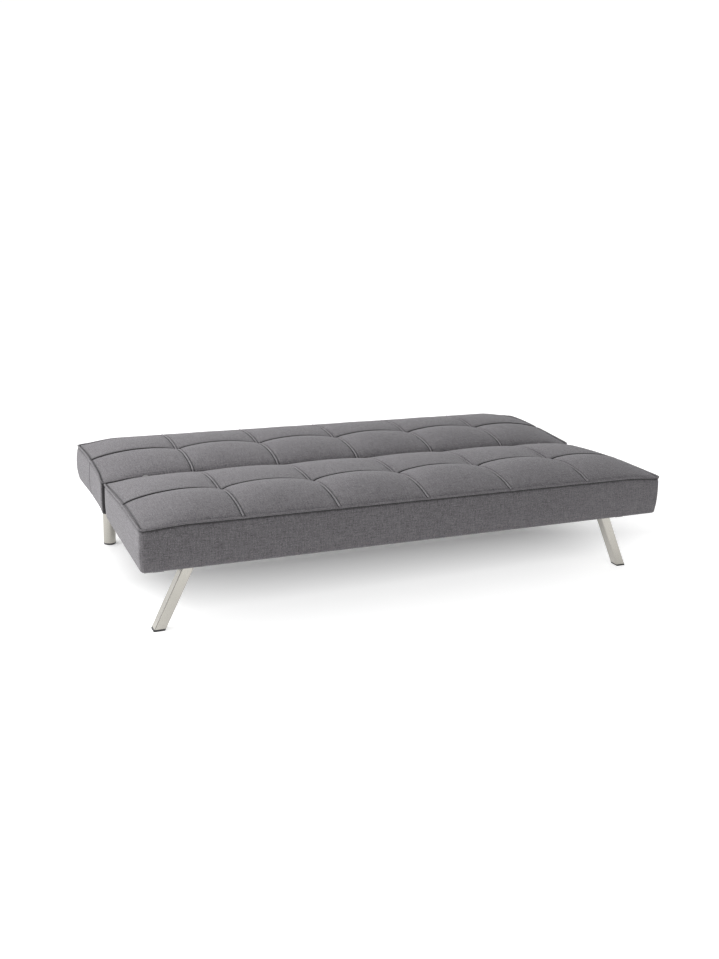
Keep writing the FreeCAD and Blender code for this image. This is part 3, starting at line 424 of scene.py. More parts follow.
def make_cushion(u):
    c = build_cushion(u)
    W = to_world(u, c["V"])
    n_all = len(W)
    idx, hem = c["idx"], c["hem_ids"]
    nt, nx = idx.shape
    on_seam = np.zeros((nt, nx), bool)
    on_seam[0, :] = on_seam[-1, :] = True
    on_seam[:, 0] = on_seam[:, -1] = True
    for x in COLS[1:6]:
        on_seam[:, np.abs(c["xs"] - x) < 0.0041] = True
    on_seam[np.abs(c["ts"] - u["mid"]) < 0.0023, :] = True
    # a closed bag for the simulation: the underside is a plain copy of the top's grid
    inner = [(j, i) for j in range(1, nt - 1) for i in range(1, nx - 1)]
    low_ids = np.full((nt, nx), -1)
    flat = {}
    ring = {int(v): int(h) for v, h in zip(c["loop"], hem)}
    low = []
    for j in range(nt):
        for i in range(nx):
            v = int(idx[j, i])
            if v in ring:
                low_ids[j, i] = ring[v]
            else:
                low_ids[j, i] = n_all + len(low)
                p = W[v]
                low.append((p[0] * 0.955, p[1] + 0.0, UNDER + 0.0004))
    faces_low = [(low_ids[j, i], low_ids[j + 1, i], low_ids[j + 1, i + 1], low_ids[j, i + 1])
                 for j in range(nt - 1) for i in range(nx - 1)]
    allW = np.concatenate([W, np.array(low)])
    faces = flip_if(u, c["top"] + c["band"] + c["hem"] + faces_low)
    pins = set(idx[on_seam].tolist()) | set(range(n_all, len(allW))) | set(hem.tolist())
    pins |= set(c["rings"][-1].tolist()) | set(c["rings"][1].tolist())
    new = simulate(u["name"], allW, faces, sorted(pins))[:n_all]
    move = new - W
    size = np.linalg.norm(move, axis=1)
    cap = np.full(n_all, 0.0040)
    cap[: nt * nx] = 0.0110
    cut = np.minimum(1.0, cap / np.maximum(size, 1e-9))
    # a soft cap, so that no edge shows where it starts
    soft = np.tanh(size / cap) * cap / np.maximum(size, 1e-9)
    W = W + move * np.minimum(soft, 1.0)[:, None]
    u["moved"] = (float(size.max()), float(size[: nt * nx].mean()))
    W = keep_out(u, c, keep_clear(u, W))
    name = u["name"] + "_cushion"
    faces = flip_if(u, c["top"] + c["band"] + c["hem"])
    ob = mesh_object(name, W, faces)
    # cloth coordinates: the top by x and y, each side by its length and height
    loops = np.zeros(len(ob.data.loops), np.int32)
    ob.data.loops.foreach_get("vertex_index", loops)
    per = np.zeros(len(W))
    seg = np.linalg.norm(np.diff(W[c["loop"]], axis=0, append=W[c["loop"]][:1]), axis=1)
    run = np.concatenate([[0], np.cumsum(seg)])
    for ring in c["rings"]:
        per[ring] = run[:-1]
    per[hem] = run[:-1]
    n_top = len(c["top"])
    uv = np.zeros((len(loops), 2))
    k = 0
    for fi, f in enumerate(ob.data.polygons):
        ids = loops[f.loop_start:f.loop_start + f.loop_total]
        if fi < n_top:
            uv[f.loop_start:f.loop_start + f.loop_total] = W[ids][:, :2]
        else:
            p = per[ids].copy()
            if p.max() - p.min() > 1.0:
                p[p < 1.0] += run[-1]
            uv[f.loop_start:f.loop_start + f.loop_total, 0] = p + 5.3
            uv[f.loop_start:f.loop_start + f.loop_total, 1] = W[ids][:, 2] * 1.0 + 0.07 * (fi > n_top + len(c["band"]))
    set_fab(ob, uv)
    # painted shade: the seam, piping, joint-gap and outer-side shade is kept on the mesh for the material to darken
    # the cloth by
    tone = ob.data.attributes.new("painted_crease_shade", "FLOAT", "POINT")
    tone.data.foreach_set("value", painted_seam_shade_tone(u, c, len(W)).astype(np.float32))
    sub = ob.modifiers.new("Sub", "SUBSURF")
    sub.levels = sub.render_levels = 1
    sub.boundary_smooth = "PRESERVE_CORNERS"
    apply_modifiers(ob)
    # closes the underside with one flat face inside the hem
    me = ob.data
    import bmesh
    bm = bmesh.new()
    bm.from_mesh(me)
    edges = [e for e in bm.edges if e.is_boundary]
    made = bmesh.ops.holes_fill(bm, edges=edges, sides=0)
    for f in made["faces"]:
        f.smooth = False
    bmesh.ops.recalc_face_normals(bm, faces=bm.faces)
    bm.to_mesh(me)
    bm.free()
    u["grid"], u["W"] = c, W
    return ob


# ------------------------------------------------------------------ trim that follows the cushion
def tree_of(ob):
    me = ob.data
    return BVHTree.FromPolygons([v.co.copy() for v in me.vertices], [tuple(p.vertices) for p in me.polygons])


def drop(tree, x, y):
    hit = tree.ray_cast(Vector((x, y, 0.6)), Vector((0, 0, -1)))
    return (hit[0], hit[1]) if hit[0] is not None else (None, None)


def smooth_line(P, times=2):
    P = np.array(P, float)
    for _ in range(times):
        Q = P.copy()
        Q[1:-1] = 0.25 * P[:-2] + 0.5 * P[1:-1] + 0.25 * P[2:]
        P = Q
    return P


def sweep(name, paths, section, closed=False):
    """paths: list of (points, side vectors, up vectors); section: closed outline as (across, up) pairs."""
    verts, faces, uvs = [], [], []
    m = len(section)
    around = np.concatenate([[0], np.cumsum(np.linalg.norm(np.diff(np.array(section + section[:1]), axis=0), axis=1))])
    for P, S, U in paths:
        base = len(verts)
        n = len(P)
        length = np.concatenate([[0], np.cumsum(np.linalg.norm(np.diff(P, axis=0), axis=1))])
        for i in range(n):
            for a, b in section:
                verts.append(P[i] + S[i] * a + U[i] * b)
        rings = n if closed else n - 1
        for i in range(rings):
            i2 = (i + 1) % n
            l0 = length[i]
            l1 = length[i + 1] if i + 1 < n else length[i] + np.linalg.norm(P[0] - P[-1])
            for j in range(m):
                j2 = (j + 1) % m
                faces.append((base + i * m + j, base + i * m + j2, base + i2 * m + j2, base + i2 * m + j))
                uvs += [(around[j], l0), (around[j + 1], l0), (around[j + 1], l1), (around[j], l1)]
        if not closed:
            faces.append(tuple(base + j for j in reversed(range(m))))
            uvs += [section[j] for j in reversed(range(m))]
            faces.append(tuple(base + (n - 1) * m + j for j in range(m)))
            uvs += [section[j] for j in range(m)]
    ob = mesh_object(name, verts, faces)
    set_fab(ob, uvs)
    return ob


RIB = [(-0.0023, -0.0024), (0.0023, -0.0024), (0.0023, 0.0008), (0.0016, 0.0016), (0.0, 0.0019),
       (-0.0016, 0.0016), (-0.0023, 0.0008)]


def on_cloth(tree, line, lift=0.0, times=3):
    """Lays a line of (x, y) points on the cloth; returns points, sideways and upward directions."""
    P = []
    for x, y in line:
        p, _ = drop(tree, x, y)
        if p is not None:
            P.append(p)
    P = smooth_line(P, times)
    T = np.gradient(P, axis=0)
    T /= np.linalg.norm(T, axis=1)[:, None]
    S = np.cross(T, np.array([0.0, 0.0, 1.0]))
    S /= np.linalg.norm(S, axis=1)[:, None]
    U = np.cross(S, T)
    return P + U * lift, S, U


def column_lines(u, off=0.0, near=0.0014):
    th, m = u["depth"] - 0.005, u["mid"]
    out = []
    for x in COLS[1:6]:
        for a, b in ((near, m - 0.0030), (m + 0.0030, th - near)):
            ts = np.linspace(a, b, int((b - a) / 0.004) + 2)
            out.append([(x + off, u["outer"] + u["way"] * t) for t in ts])
    return out


def middle_line(u, near=0.0014):
    y = u["outer"] + u["way"] * u["mid"] + 0.0056
    return [(x, y) for x in np.linspace(-HALF + near, HALF - near, 440)]


def rim_path(u, outward, down):
    """A closed path round the top, outward and down from the edge, in even steps."""
    c, W = u["grid"], u["W"]
    out = c["out"].copy()
    out[:, 1] *= u["way"]
    Q = W[c["loop"]].copy()
    # the piping stands out a little where it turns the two outer corners
    ear = np.exp(-((HALF - np.abs(Q[:, 0])) / 0.010) ** 2 - ((Q[:, 1] - u["outer"]) / 0.010) ** 2)
    Q[:, :2] += out * (outward + 0.0016 * ear)[:, None]
    Q[:, 2] -= down
    seg = np.linalg.norm(np.roll(Q, -1, 0) - Q, axis=1)
    run = np.concatenate([[0], np.cumsum(seg)])
    n = int(run[-1] / 0.005)
    at = np.arange(n) * run[-1] / n
    QQ = np.concatenate([Q, Q[:1]])
    R = np.stack([np.interp(at, run, QQ[:, k]) for k in range(3)], 1)
    for _ in range(2):
        R = 0.25 * np.roll(R, 1, 0) + 0.5 * R + 0.25 * np.roll(R, -1, 0)
    T = np.roll(R, -1, 0) - np.roll(R, 1, 0)
    T /= np.linalg.norm(T, axis=1)[:, None]
    S = np.cross(T, np.array([0.0, 0.0, 1.0]))
    S /= np.linalg.norm(S, axis=1)[:, None]
    return R, S, np.cross(S, T)


def stitches(paths, pitch=0.0062, length=0.0054):
    """Cuts paths of (points, sideways, up) into short straight stitches."""
    out = []
    for P, S, U in paths:
        run = np.concatenate([[0], np.cumsum(np.linalg.norm(np.diff(P, axis=0), axis=1))])
        at = np.arange(0.001, run[-1] - length, pitch)
        for a in at:
            pick = [a, a + length]
            Q = np.stack([np.interp(pick, run, P[:, k]) for k in range(3)], 1)
            i = min(int(np.searchsorted(run, a)), len(P) - 1)
            out.append((Q, np.array([S[i], S[i]]), np.array([U[i], U[i]])))
    return out


def circle(r, n=10):
    return [(r * math.cos(2 * math.pi * k / n), r * math.sin(2 * math.pi * k / n)) for k in range(n)]


# ------------------------------------------------------------------ materials
class Nodes:
    """A short way to wire shader nodes."""

    def __init__(self, name):
        self.mat = bpy.data.materials.new(name)
        self.mat.use_nodes = True
        self.t = self.mat.node_tree
        self.t.nodes.clear()
        self.out = self.t.nodes.new("ShaderNodeOutputMaterial")

    def node(self, kind, **props):
        n = self.t.nodes.new(kind)
        for k, v in props.items():
            setattr(n, k, v)
        return n

    def put(self, socket, value):
        if isinstance(value, bpy.types.NodeSocket):
            self.t.links.new(value, socket)
        elif value is not None:
            socket.default_value = value

    def math(self, op, a, b=None, c=None, clamp=False):
        n = self.node("ShaderNodeMath", operation=op, use_clamp=clamp)
        for s, v in zip(n.inputs, (a, b, c)):
            self.put(s, v)
        return n.outputs[0]

    def vec(self, x, y, z=0.0):
        n = self.node("ShaderNodeCombineXYZ")
        for s, v in zip(n.inputs, (x, y, z)):
            self.put(s, v)
        return n.outputs[0]

    def noise(self, vector, scale=1.0, detail=2.0, rough=0.5, distortion=0.0, dims="3D"):
        n = self.node("ShaderNodeTexNoise", noise_dimensions=dims)
        self.put(n.inputs["Vector"], vector)
        self.put(n.inputs["Scale"], scale)
        self.put(n.inputs["Detail"], detail)
        self.put(n.inputs["Roughness"], rough)
        self.put(n.inputs["Distortion"], distortion)
        return n.outputs["Fac"]

    def ramp(self, fac, stops, interp="LINEAR"):
        n = self.node("ShaderNodeValToRGB")
        n.color_ramp.interpolation = interp
        e = n.color_ramp.elements
        while len(e) < len(stops):
            e.new(0.5)
        for el, (p, c) in zip(e, stops):
            el.position = p
            el.color = (c, c, c, 1) if isinstance(c, (int, float)) else (*c, 1)
        self.put(n.inputs["Fac"], fac)
        return n.outputs["Color"]

    def mix(self, fac, a, b, mode="MIX"):
        n = self.node("ShaderNodeMix", data_type="RGBA", blend_type=mode)
        self.put(n.inputs[0], fac)
        self.put(n.inputs[6], a if isinstance(a, bpy.types.NodeSocket) else (*a, 1))
        self.put(n.inputs[7], b if isinstance(b, bpy.types.NodeSocket) else (*b, 1))
        return n.outputs[2]

    def map_range(self, v, a, b, c, d, clamp=True):
        n = self.node("ShaderNodeMapRange", clamp=clamp)
        for s, x in zip(n.inputs, (v, a, b, c, d)):
            self.put(s, x)
        return n.outputs[0]

    def bsdf(self, color, rough, metallic=0.0, normal=None, **extra):
        b = self.node("ShaderNodeBsdfPrincipled")
        self.put(b.inputs["Base Color"], color if isinstance(color, bpy.types.NodeSocket) else (*color, 1))
        self.put(b.inputs["Roughness"], rough)
        self.put(b.inputs["Metallic"], metallic)
        if normal is not None:
            self.put(b.inputs["Normal"], normal)
        for k, v in extra.items():
            self.put(b.inputs[k.replace("_", " ")], v)
        self.t.links.new(b.outputs["BSDF"], self.out.inputs["Surface"])
        return b

    def bump(self, height, strength=0.5, distance=0.001, normal=None):
        n = self.node("ShaderNodeBump")
        self.put(n.inputs["Strength"], strength)
        self.put(n.inputs["Distance"], distance)
        self.put(n.inputs["Height"], height)
        if normal is not None:
            self.put(n.inputs["Normal"], normal)
        return n.outputs["Normal"]

    def obj(self):
        return self.node("ShaderNodeTexCoord").outputs["Object"]


def fabric(name, gain=1.0, contrast=0.85):
    """Heathered linen-like upholstery: plain weave, slubby yarns both ways, light flecks."""
    dark = tuple(gain * c for c in (0.0500, 0.0472, 0.0505))
    light = tuple(gain * c for c in (0.2260, 0.2145, 0.2265))
    g = Nodes(name)
    at = g.node("ShaderNodeAttribute", attribute_type="GEOMETRY", attribute_name="fab")
    sep = g.node("ShaderNodeSeparateXYZ")
    g.put(sep.inputs[0], at.outputs["Vector"])
    u, v = sep.outputs[0], sep.outputs[1]
    # a little waviness, so that the yarns aren't ruled lines
    wob = g.noise(g.vec(u, v, 0.0), scale=14.0, detail=1.0)
    wu = g.math("MULTIPLY_ADD", wob, 0.0022, u)
    wv = g.math("MULTIPLY_ADD", wob, -0.0022, v)
    pitch = 0.0013
    iu = g.math("FLOOR", g.math("DIVIDE", wu, pitch))
    iv = g.math("FLOOR", g.math("DIVIDE", wv, pitch))
    # tone of each yarn along its own length
    warp = g.noise(g.vec(g.math("MULTIPLY", iu, 0.73), g.math("MULTIPLY", wv, 34.0), 1.7), scale=1.0, detail=2.0, rough=0.6)
    weft = g.noise(g.vec(g.math("MULTIPLY", wu, 34.0), g.math("MULTIPLY", iv, 0.73), 8.3), scale=1.0, detail=2.0, rough=0.6)
    over = g.math("MODULO", g.math("ABSOLUTE", g.math("ADD", iu, iv)), 2.0)
    yarn = g.math("ADD", g.math("MULTIPLY", warp, g.math("SUBTRACT", 1.0, over)), g.math("MULTIPLY", weft, over))
    # broader streaks that read from across the room
    s1 = g.noise(g.vec(g.math("MULTIPLY", wu, 300.0), g.math("MULTIPLY", wv, 48.0), 3.1), scale=1.0, detail=1.5, rough=0.55)
    s2 = g.noise(g.vec(g.math("MULTIPLY", wu, 40.0), g.math("MULTIPLY", wv, 300.0), 5.9), scale=1.0, detail=1.5, rough=0.55)
    grit = g.noise(g.vec(wu, wv, 6.6), scale=210.0, detail=2.0, rough=0.6)
    blot = g.noise(g.vec(u, v, 2.2), scale=7.0, detail=3.0, rough=0.6)
    fleck = g.noise(g.vec(g.math("MULTIPLY", wu, 420.0), g.math("MULTIPLY", wv, 300.0), 9.0), scale=1.0, detail=1.0)
    fleck = g.map_range(fleck, 0.60, 0.70, 0.0, 1.0)
    t = g.math("MULTIPLY_ADD", g.math("SUBTRACT", yarn, 0.5), 1.30 * contrast, 0.450)
    t = g.math("MULTIPLY_ADD", g.math("SUBTRACT", s1, 0.5), 0.55 * contrast, t)
    t = g.math("MULTIPLY_ADD", g.math("SUBTRACT", s2, 0.5), 0.45 * contrast, t)
    t = g.math("MULTIPLY_ADD", g.math("SUBTRACT", grit, 0.5), 0.85 * contrast, t)
    t = g.math("MULTIPLY_ADD", g.math("SUBTRACT", blot, 0.5), 0.16, t)
    t = g.math("MULTIPLY_ADD", fleck, 0.70, t, clamp=True)
    color = g.mix(t, dark, light)
    # painted shade: the cloth goes near black where the mesh's painted shade attribute is high
    fold = g.node("ShaderNodeAttribute", attribute_type="GEOMETRY", attribute_name="painted_crease_shade").outputs["Fac"]
    color = g.mix(g.math("MULTIPLY", fold, 0.90, clamp=True), color, (0.016, 0.015, 0.016))
    # height of the weave: rounded yarns passing over and under
    pu = g.math("SINE", g.math("MULTIPLY", wu, math.pi / pitch))
    pv = g.math("SINE", g.math("MULTIPLY", wv, math.pi / pitch))
    hu = g.math("MULTIPLY", g.math("ABSOLUTE", pu), g.math("SUBTRACT", 1.0, over))
    hv = g.math("MULTIPLY", g.math("ABSOLUTE", pv), over)
    h = g.math("ADD", hu, hv)
    h = g.math("MULTIPLY_ADD", yarn, 0.9, h)
    n1 = g.bump(h, 0.55, 0.00035)
    n2 = g.bump(g.math("ADD", s1, s2), 0.30, 0.0012, n1)
    g.bsdf(color, 0.92, normal=n2, Sheen_Weight=0.22, Sheen_Roughness=0.55,
           Sheen_Tint=(0.80, 0.80, 0.82, 1), Specular_IOR_Level=0.18)
    return g.mat


def satin_nickel(name):
    g = Nodes(name)
    p = g.obj()
    sep = g.node("ShaderNodeSeparateXYZ")
    g.put(sep.inputs[0], p)
    along = g.noise(g.vec(g.math("MULTIPLY", sep.outputs[0], 1600.0), g.math("MULTIPLY", sep.outputs[1], 1600.0),
                          g.math("MULTIPLY", sep.outputs[2], 30.0)), scale=1.0, detail=2.0)
    cloud = g.noise(p, scale=16.0, detail=3.0)
    rough = g.math("MULTIPLY_ADD", g.math("SUBTRACT", cloud, 0.5), 0.10, 0.26)
    rough = g.math("MULTIPLY_ADD", g.math("SUBTRACT", along, 0.5), 0.10, rough)
    color = g.mix(cloud, (0.375, 0.362, 0.330), (0.465, 0.448, 0.410))
    # floor dust in patches near the foot
    low = g.map_range(sep.outputs[2], 0.0, 0.05, 1.0, 0.0)
    dust = g.math("MULTIPLY", low, g.map_range(cloud, 0.45, 0.7, 0.0, 0.5))
    color = g.mix(dust, color, (0.34, 0.33, 0.31))
    g.bsdf(color, rough, 1.0, g.bump(along, 0.05, 0.0002))
    return g.mat


def coated_steel(name, base=(0.022, 0.022, 0.023)):
    """Black powder coat: orange peel and a cloudy change in tone and gloss."""
    g = Nodes(name)
    p = g.obj()
    peel = g.noise(p, scale=900.0, detail=2.0)
    cloud = g.noise(p, scale=22.0, detail=4.0, rough=0.6)
    color = g.mix(cloud, base, tuple(min(1.0, 1.9 * c) for c in base))
    rough = g.map_range(cloud, 0.3, 0.7, 0.42, 0.60)
    g.bsdf(color, rough, 0.0, g.bump(peel, 0.25, 0.0003))
    return g.mat


def zinc(name, tint=(0.48, 0.48, 0.49)):
    g = Nodes(name)
    p = g.obj()
    vor = g.node("ShaderNodeTexVoronoi")
    g.put(vor.inputs["Vector"], p)
    g.put(vor.inputs["Scale"], 160.0)
    flake = vor.outputs["Distance"]
    cloud = g.noise(p, scale=60.0, detail=3.0)
    color = g.mix(cloud, tuple(0.78 * c for c in tint), tint)
    color = g.mix(g.math("MULTIPLY", flake, 0.35), color, (0.42, 0.42, 0.44))
    rough = g.map_range(cloud, 0.3, 0.7, 0.32, 0.52)
    g.bsdf(color, rough, 1.0, g.bump(cloud, 0.06, 0.0002))
    return g.mat


def timber(name):
    g = Nodes(name)
    p = g.obj()
    m = g.node("ShaderNodeMapping")
    g.put(m.inputs["Vector"], p)
    m.inputs["Scale"].default_value = (2.0, 16.0, 30.0)
    ring = g.noise(m.outputs["Vector"], scale=3.2, detail=5.0, rough=0.6, distortion=0.8)
    m2 = g.node("ShaderNodeMapping")
    g.put(m2.inputs["Vector"], p)
    m2.inputs["Scale"].default_value = (18.0, 420.0, 420.0)
    fibre = g.noise(m2.outputs["Vector"], scale=1.0, detail=2.0)
    color = g.ramp(ring, [(0.30, (0.34, 0.20, 0.10)), (0.52, (0.58, 0.40, 0.22)), (0.72, (0.68, 0.50, 0.30))])
    color = g.mix(g.map_range(fibre, 0.35, 0.65, 0.0, 0.35), color, (0.36, 0.23, 0.12))
    g.bsdf(color, g.map_range(fibre, 0.3, 0.7, 0.55, 0.75), 0.0, g.bump(fibre, 0.25, 0.0005))
    return g.mat


def plastic(name, base=(0.012, 0.012, 0.013), rough=0.42):
    g = Nodes(name)
    p = g.obj()
    grain = g.noise(p, scale=1400.0, detail=2.0)
    cloud = g.noise(p, scale=35.0, detail=3.0)
    color = g.mix(cloud, base, tuple(min(1.0, 2.2 * c) for c in base))
    g.bsdf(color, g.map_range(cloud, 0.3, 0.7, rough - 0.06, rough + 0.10), 0.0, g.bump(grain, 0.20, 0.0002))
    return g.mat


def foam_mat(name):
    g = Nodes(name)
    p = g.obj()
    cell = g.noise(p, scale=900.0, detail=3.0)
    color = g.mix(cell, (0.62, 0.55, 0.34), (0.80, 0.73, 0.50))
    g.bsdf(color, 0.95, 0.0, g.bump(cell, 0.6, 0.0008))
    return g.mat


def dust_cloth(name):
    """Thin black non-woven: fused fibres and a small embossed dot pattern."""
    g = Nodes(name)
    p = g.obj()
    fibre = g.noise(p, scale=420.0, detail=4.0, rough=0.7, distortion=1.2)
    m = g.node("ShaderNodeMapping")
    g.put(m.inputs["Vector"], p)
    m.inputs["Rotation"].default_value = (0, 0, math.radians(45))
    sep = g.node("ShaderNodeSeparateXYZ")
    g.put(sep.inputs[0], m.outputs["Vector"])
    k = 2 * math.pi / 0.0022
    dots = g.math("MULTIPLY", g.math("SINE", g.math("MULTIPLY", sep.outputs[0], k)),
                  g.math("SINE", g.math("MULTIPLY", sep.outputs[1], k)))
    dots = g.map_range(dots, 0.35, 0.8, 0.0, 1.0)
    color = g.mix(fibre, (0.008, 0.008, 0.009), (0.040, 0.040, 0.042))
    color = g.mix(g.math("MULTIPLY", dots, 0.5), color, (0.006, 0.006, 0.007))
    h = g.math("MULTIPLY_ADD", dots, -0.8, fibre)
    g.bsdf(color, 0.82, 0.0, g.bump(h, 0.45, 0.0003), Sheen_Weight=0.15)
    return g.mat


def thread(name):
    """Dark charcoal sewing thread with a slight twist; real stitches, kept darker than the cloth so that the rows also
    paint the shade in the seam creases.
    """
    g = Nodes(name)
    p = g.obj()
    twist = g.noise(p, scale=1500.0, detail=2.0)
    tone = g.noise(p, scale=40.0, detail=2.0)
    color = g.mix(tone, (0.020, 0.019, 0.020), (0.045, 0.043, 0.045))
    g.bsdf(color, 0.80, 0.0, g.bump(twist, 0.3, 0.0003), Sheen_Weight=0.1)
    return g.mat


THREAD = thread("sewing_thread_shade_dark")
MATS = {
    "upholstery": fabric("upholstery_weave"),
    # painted highlight: the raised seam strip is the same cloth made 1.35 times lighter
    "upholstery_rib_painted_highlight": fabric("upholstery_seam_strip_lightened", 1.35),
    "dust_fabric": dust_cloth("dust_cloth_black"),
    "foam": foam_mat("seat_foam_cream"),
    "timber": timber("frame_timber"),
    "leg_metal": satin_nickel("satin_nickel"),
    "frame_metal": coated_steel("black_powder_coat"),
    "hinge_metal": zinc("hinge_zinc"),
    "fastener": zinc("fastener_zinc", (0.52, 0.51, 0.48)),
    "spring_wire": zinc("spring_wire_steel", (0.30, 0.30, 0.31)),
    "cap_plastic": plastic("cap_black_plastic"),
    "rubber": plastic("bumper_rubber", (0.018, 0.018, 0.018), 0.62),
}


def dress(ob, mat):
    ob.data.materials.clear()
    ob.data.materials.append(mat)


# every carried-over frame part takes the finish of its material slot
slot_of = {}
for m in frame["record"].get("materials", []):
    for n in m.get("nodes", []) or m.get("applies_to", []) or []:
        slot_of[n] = m["slot"]
for n, ob in frame["nodes"].items():
    s = slot_of.get(n)
    if s is None:
        mat_name = ob.material_slots[0].material.name if ob.material_slots and ob.material_slots[0].material else ""
        s = next((k for k in MATS if mat_name.startswith(k)), "hinge_metal")
    for slot in ob.material_slots:
        slot.material = MATS[s]

# ------------------------------------------------------------------ the two cushions
def dust_sheet(u, cad):
    """Thin cloth stapled under the frame: a folded hem round it and a slight sag between the rails."""
    low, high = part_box(cad)
    x0, x1, y0, y1 = low[0] + 0.001, high[0] - 0.001, low[1] + 0.001, high[1] - 0.001
    top_z = high[2] - 0.0001
    edge = (0.0, 0.0010, 0.0120, 0.0140)
    xs = sorted({round(v, 6) for e in edge for v in (x0 + e, x1 - e)} | set(np.round(np.linspace(x0 + 0.03, x1 - 0.03, 56), 6)))
    ys = sorted({round(v, 6) for e in edge for v in (y0 + e, y1 - e)} | set(np.round(np.linspace(y0 + 0.03, y1 - 0.03, 18), 6)))
    X, Y = np.meshgrid(xs, ys)
    inner_x = np.clip((0.600 - np.abs(X)) / 0.600, 0, 1)
    inner_y = pillow((Y - y0) / (y1 - y0), 1.0)
    rng = np.random.default_rng(5 if u is SEAT else 9)
    sag = 0.0022 * smoothstep(0.0, 0.5, inner_x) * inner_y
    ripple = np.zeros_like(X)
    for _ in range(7):
        kx, ky, ph = rng.uniform(4, 26), rng.uniform(-18, 18), rng.uniform(0, 6.28)
        ripple += np.sin(kx * X + ky * Y + ph) / 7
    sag = sag * (1 + 0.35 * ripple)
    d = np.minimum(np.minimum(X - x0, x1 - X), np.minimum(Y - y0, y1 - Y))
    hem = 0.00030 * (1 - smoothstep(0.0118, 0.0140, d))
    up = top_z - sag
    down = top_z - 0.00035 - hem - sag
    ny, nx = X.shape
    V = np.concatenate([np.stack([X, Y, up], -1).reshape(-1, 3), np.stack([X, Y, down], -1).reshape(-1, 3)])
    F = []
    m = nx * ny
    i = lambda a, b: a * nx + b
    for a in range(ny - 1):
        for b in range(nx - 1):
            F.append((i(a, b), i(a, b + 1), i(a + 1, b + 1), i(a + 1, b)))
            F.append((m + i(a, b), m + i(a + 1, b), m + i(a + 1, b + 1), m + i(a, b + 1)))
    ring = [i(0, b) for b in range(nx)] + [i(a, nx - 1) for a in range(1, ny)] \
        + [i(ny - 1, b) for b in range(nx - 2, -1, -1)] + [i(a, 0) for a in range(ny - 2, 0, -1)]
    for a, b in zip(ring, ring[1:] + ring[:1]):
        F.append((b, a, m + a, m + b))
    ob = mesh_object(u["name"] + "_dust_sheet", V, F)
    dress(ob, MATS["dust_fabric"])
    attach(ob, u["body"])
    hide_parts(cad)
    return ob


for u in (SEAT, BACK):
    cad = "seat" if u is SEAT else "back"
    cushion = make_cushion(u)
    u["cushion"] = cushion
    dress(cushion, MATS["upholstery"])
    tree = tree_of(cushion)
    ribs = [on_cloth(tree, line, 0.0010) for line in column_lines(u)]
    for P, S, U in ribs:
        # the strip climbs over the piping at the outer edge
        t = (P[:, 1] - u["outer"]) * u["way"]
        P[:, 2] += 0.0024 * (1 - smoothstep(0.002, 0.012, t))
    seams = sweep(u["name"] + "_seams", ribs, RIB)
    # painted highlight: the seam strips take the lightened copy of the cloth
    dress(seams, MATS["upholstery_rib_painted_highlight"])
    # along the joint the piping is thinner and lies lower, so that the two units can fold together
    R, S, U = rim_path(u, 0.0008, -0.0005)
    lean = 1 - smoothstep(0.0090, 0.0140, (JOINT_Y - R[:, 1]) * u["way"])
    R[:, 2] -= 0.0018 * lean
    R[:, 1] -= 0.0012 * lean * u["way"]
    f = (1 - 0.38 * lean)[:, None]
    piping = sweep(u["name"] + "_piping", [(R, S * f, U * f)], circle(0.0027), closed=True)
    dress(piping, MATS["upholstery"])
    # rows of stitches: in the creases beside the ribs, in the middle seam, and either side of the piping
    rows = []
    for off in (-0.0036, 0.0036):
        rows += [on_cloth(tree, line, 0.0004) for line in column_lines(u, off, 0.004)]
    rows.append(on_cloth(tree, middle_line(u, 0.004), 0.0006))
    rows.append(rim_path(u, 0.0005, 0.0040))
    R, S, U = rim_path(u, -0.0042, -0.0002)
    for side in (-1, 1):
        run = np.flatnonzero(side * R[:, 0] > HALF - 0.0058)
        run = np.roll(run, -(int(np.argmax(np.diff(run) > 1)) + 1)) if (np.diff(run) > 1).any() else run
        rows.append((R[run], S[run], U[run]))
    # painted shade: the dark stitch rows lie in the creases and darken them as shade would, besides being real
    # stitches
    threads = sweep(u["name"] + "_stitches", stitches(rows), circle(0.00105, 5))
    dress(threads, THREAD)
    for piece in (cushion, seams, piping, threads):
        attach(piece, u["body"])
    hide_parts(cad + "_cover", cad + "_foam")
    dust_sheet(u, cad + "_dust_cover")

# ------------------------------------------------------------------ stage, light, camera
def floor_material():
    """A pale floor that glows as painted light, a little brighter round the bed than under it, so that the shadow
    stays soft.
    """
    g = Nodes("studio_floor")
    b = g.bsdf((0.83, 0.83, 0.83), 0.90, Specular_IOR_Level=0.05)
    sep = g.node("ShaderNodeSeparateXYZ")
    g.put(sep.inputs[0], g.obj())
    near = g.map_range(sep.outputs[1], 0.0, -0.30, 0.0, 1.0)
    far = g.math("MULTIPLY", g.map_range(sep.outputs[1], 0.30, 0.80, 0.0, 1.0), 0.50)
    beside = g.math("MULTIPLY", g.map_range(sep.outputs[0], 0.62, 1.10, 0.0, 1.0), 0.50)
    near = g.math("MAXIMUM", near, g.math("MAXIMUM", far, beside))
    # painted light: the floor's glow, weaker under the bed, stronger in front of, behind and beside it
    near = g.math("MULTIPLY_ADD", near, 0.48, 0.20)
    g.put(b.inputs["Emission Color"], (1.0, 1.0, 1.0, 1))
    g.put(b.inputs["Emission Strength"], near)
    geo = g.node("ShaderNodeNewGeometry")
    clear = g.node("ShaderNodeBsdfTransparent")
    mix = g.node("ShaderNodeMixShader")
    g.put(mix.inputs[0], geo.outputs["Backfacing"])
    g.t.links.new(b.outputs["BSDF"], mix.inputs[1])
    g.t.links.new(clear.outputs["BSDF"], mix.inputs[2])
    g.t.links.new(mix.outputs["Shader"], g.out.inputs["Surface"])
    return g.mat


floor = mesh_object("studio_floor", [(-30, -30, 0), (30, -30, 0), (30, 30, 0), (-30, 30, 0)], [(0, 1, 2, 3)], False)
dress(floor, floor_material())

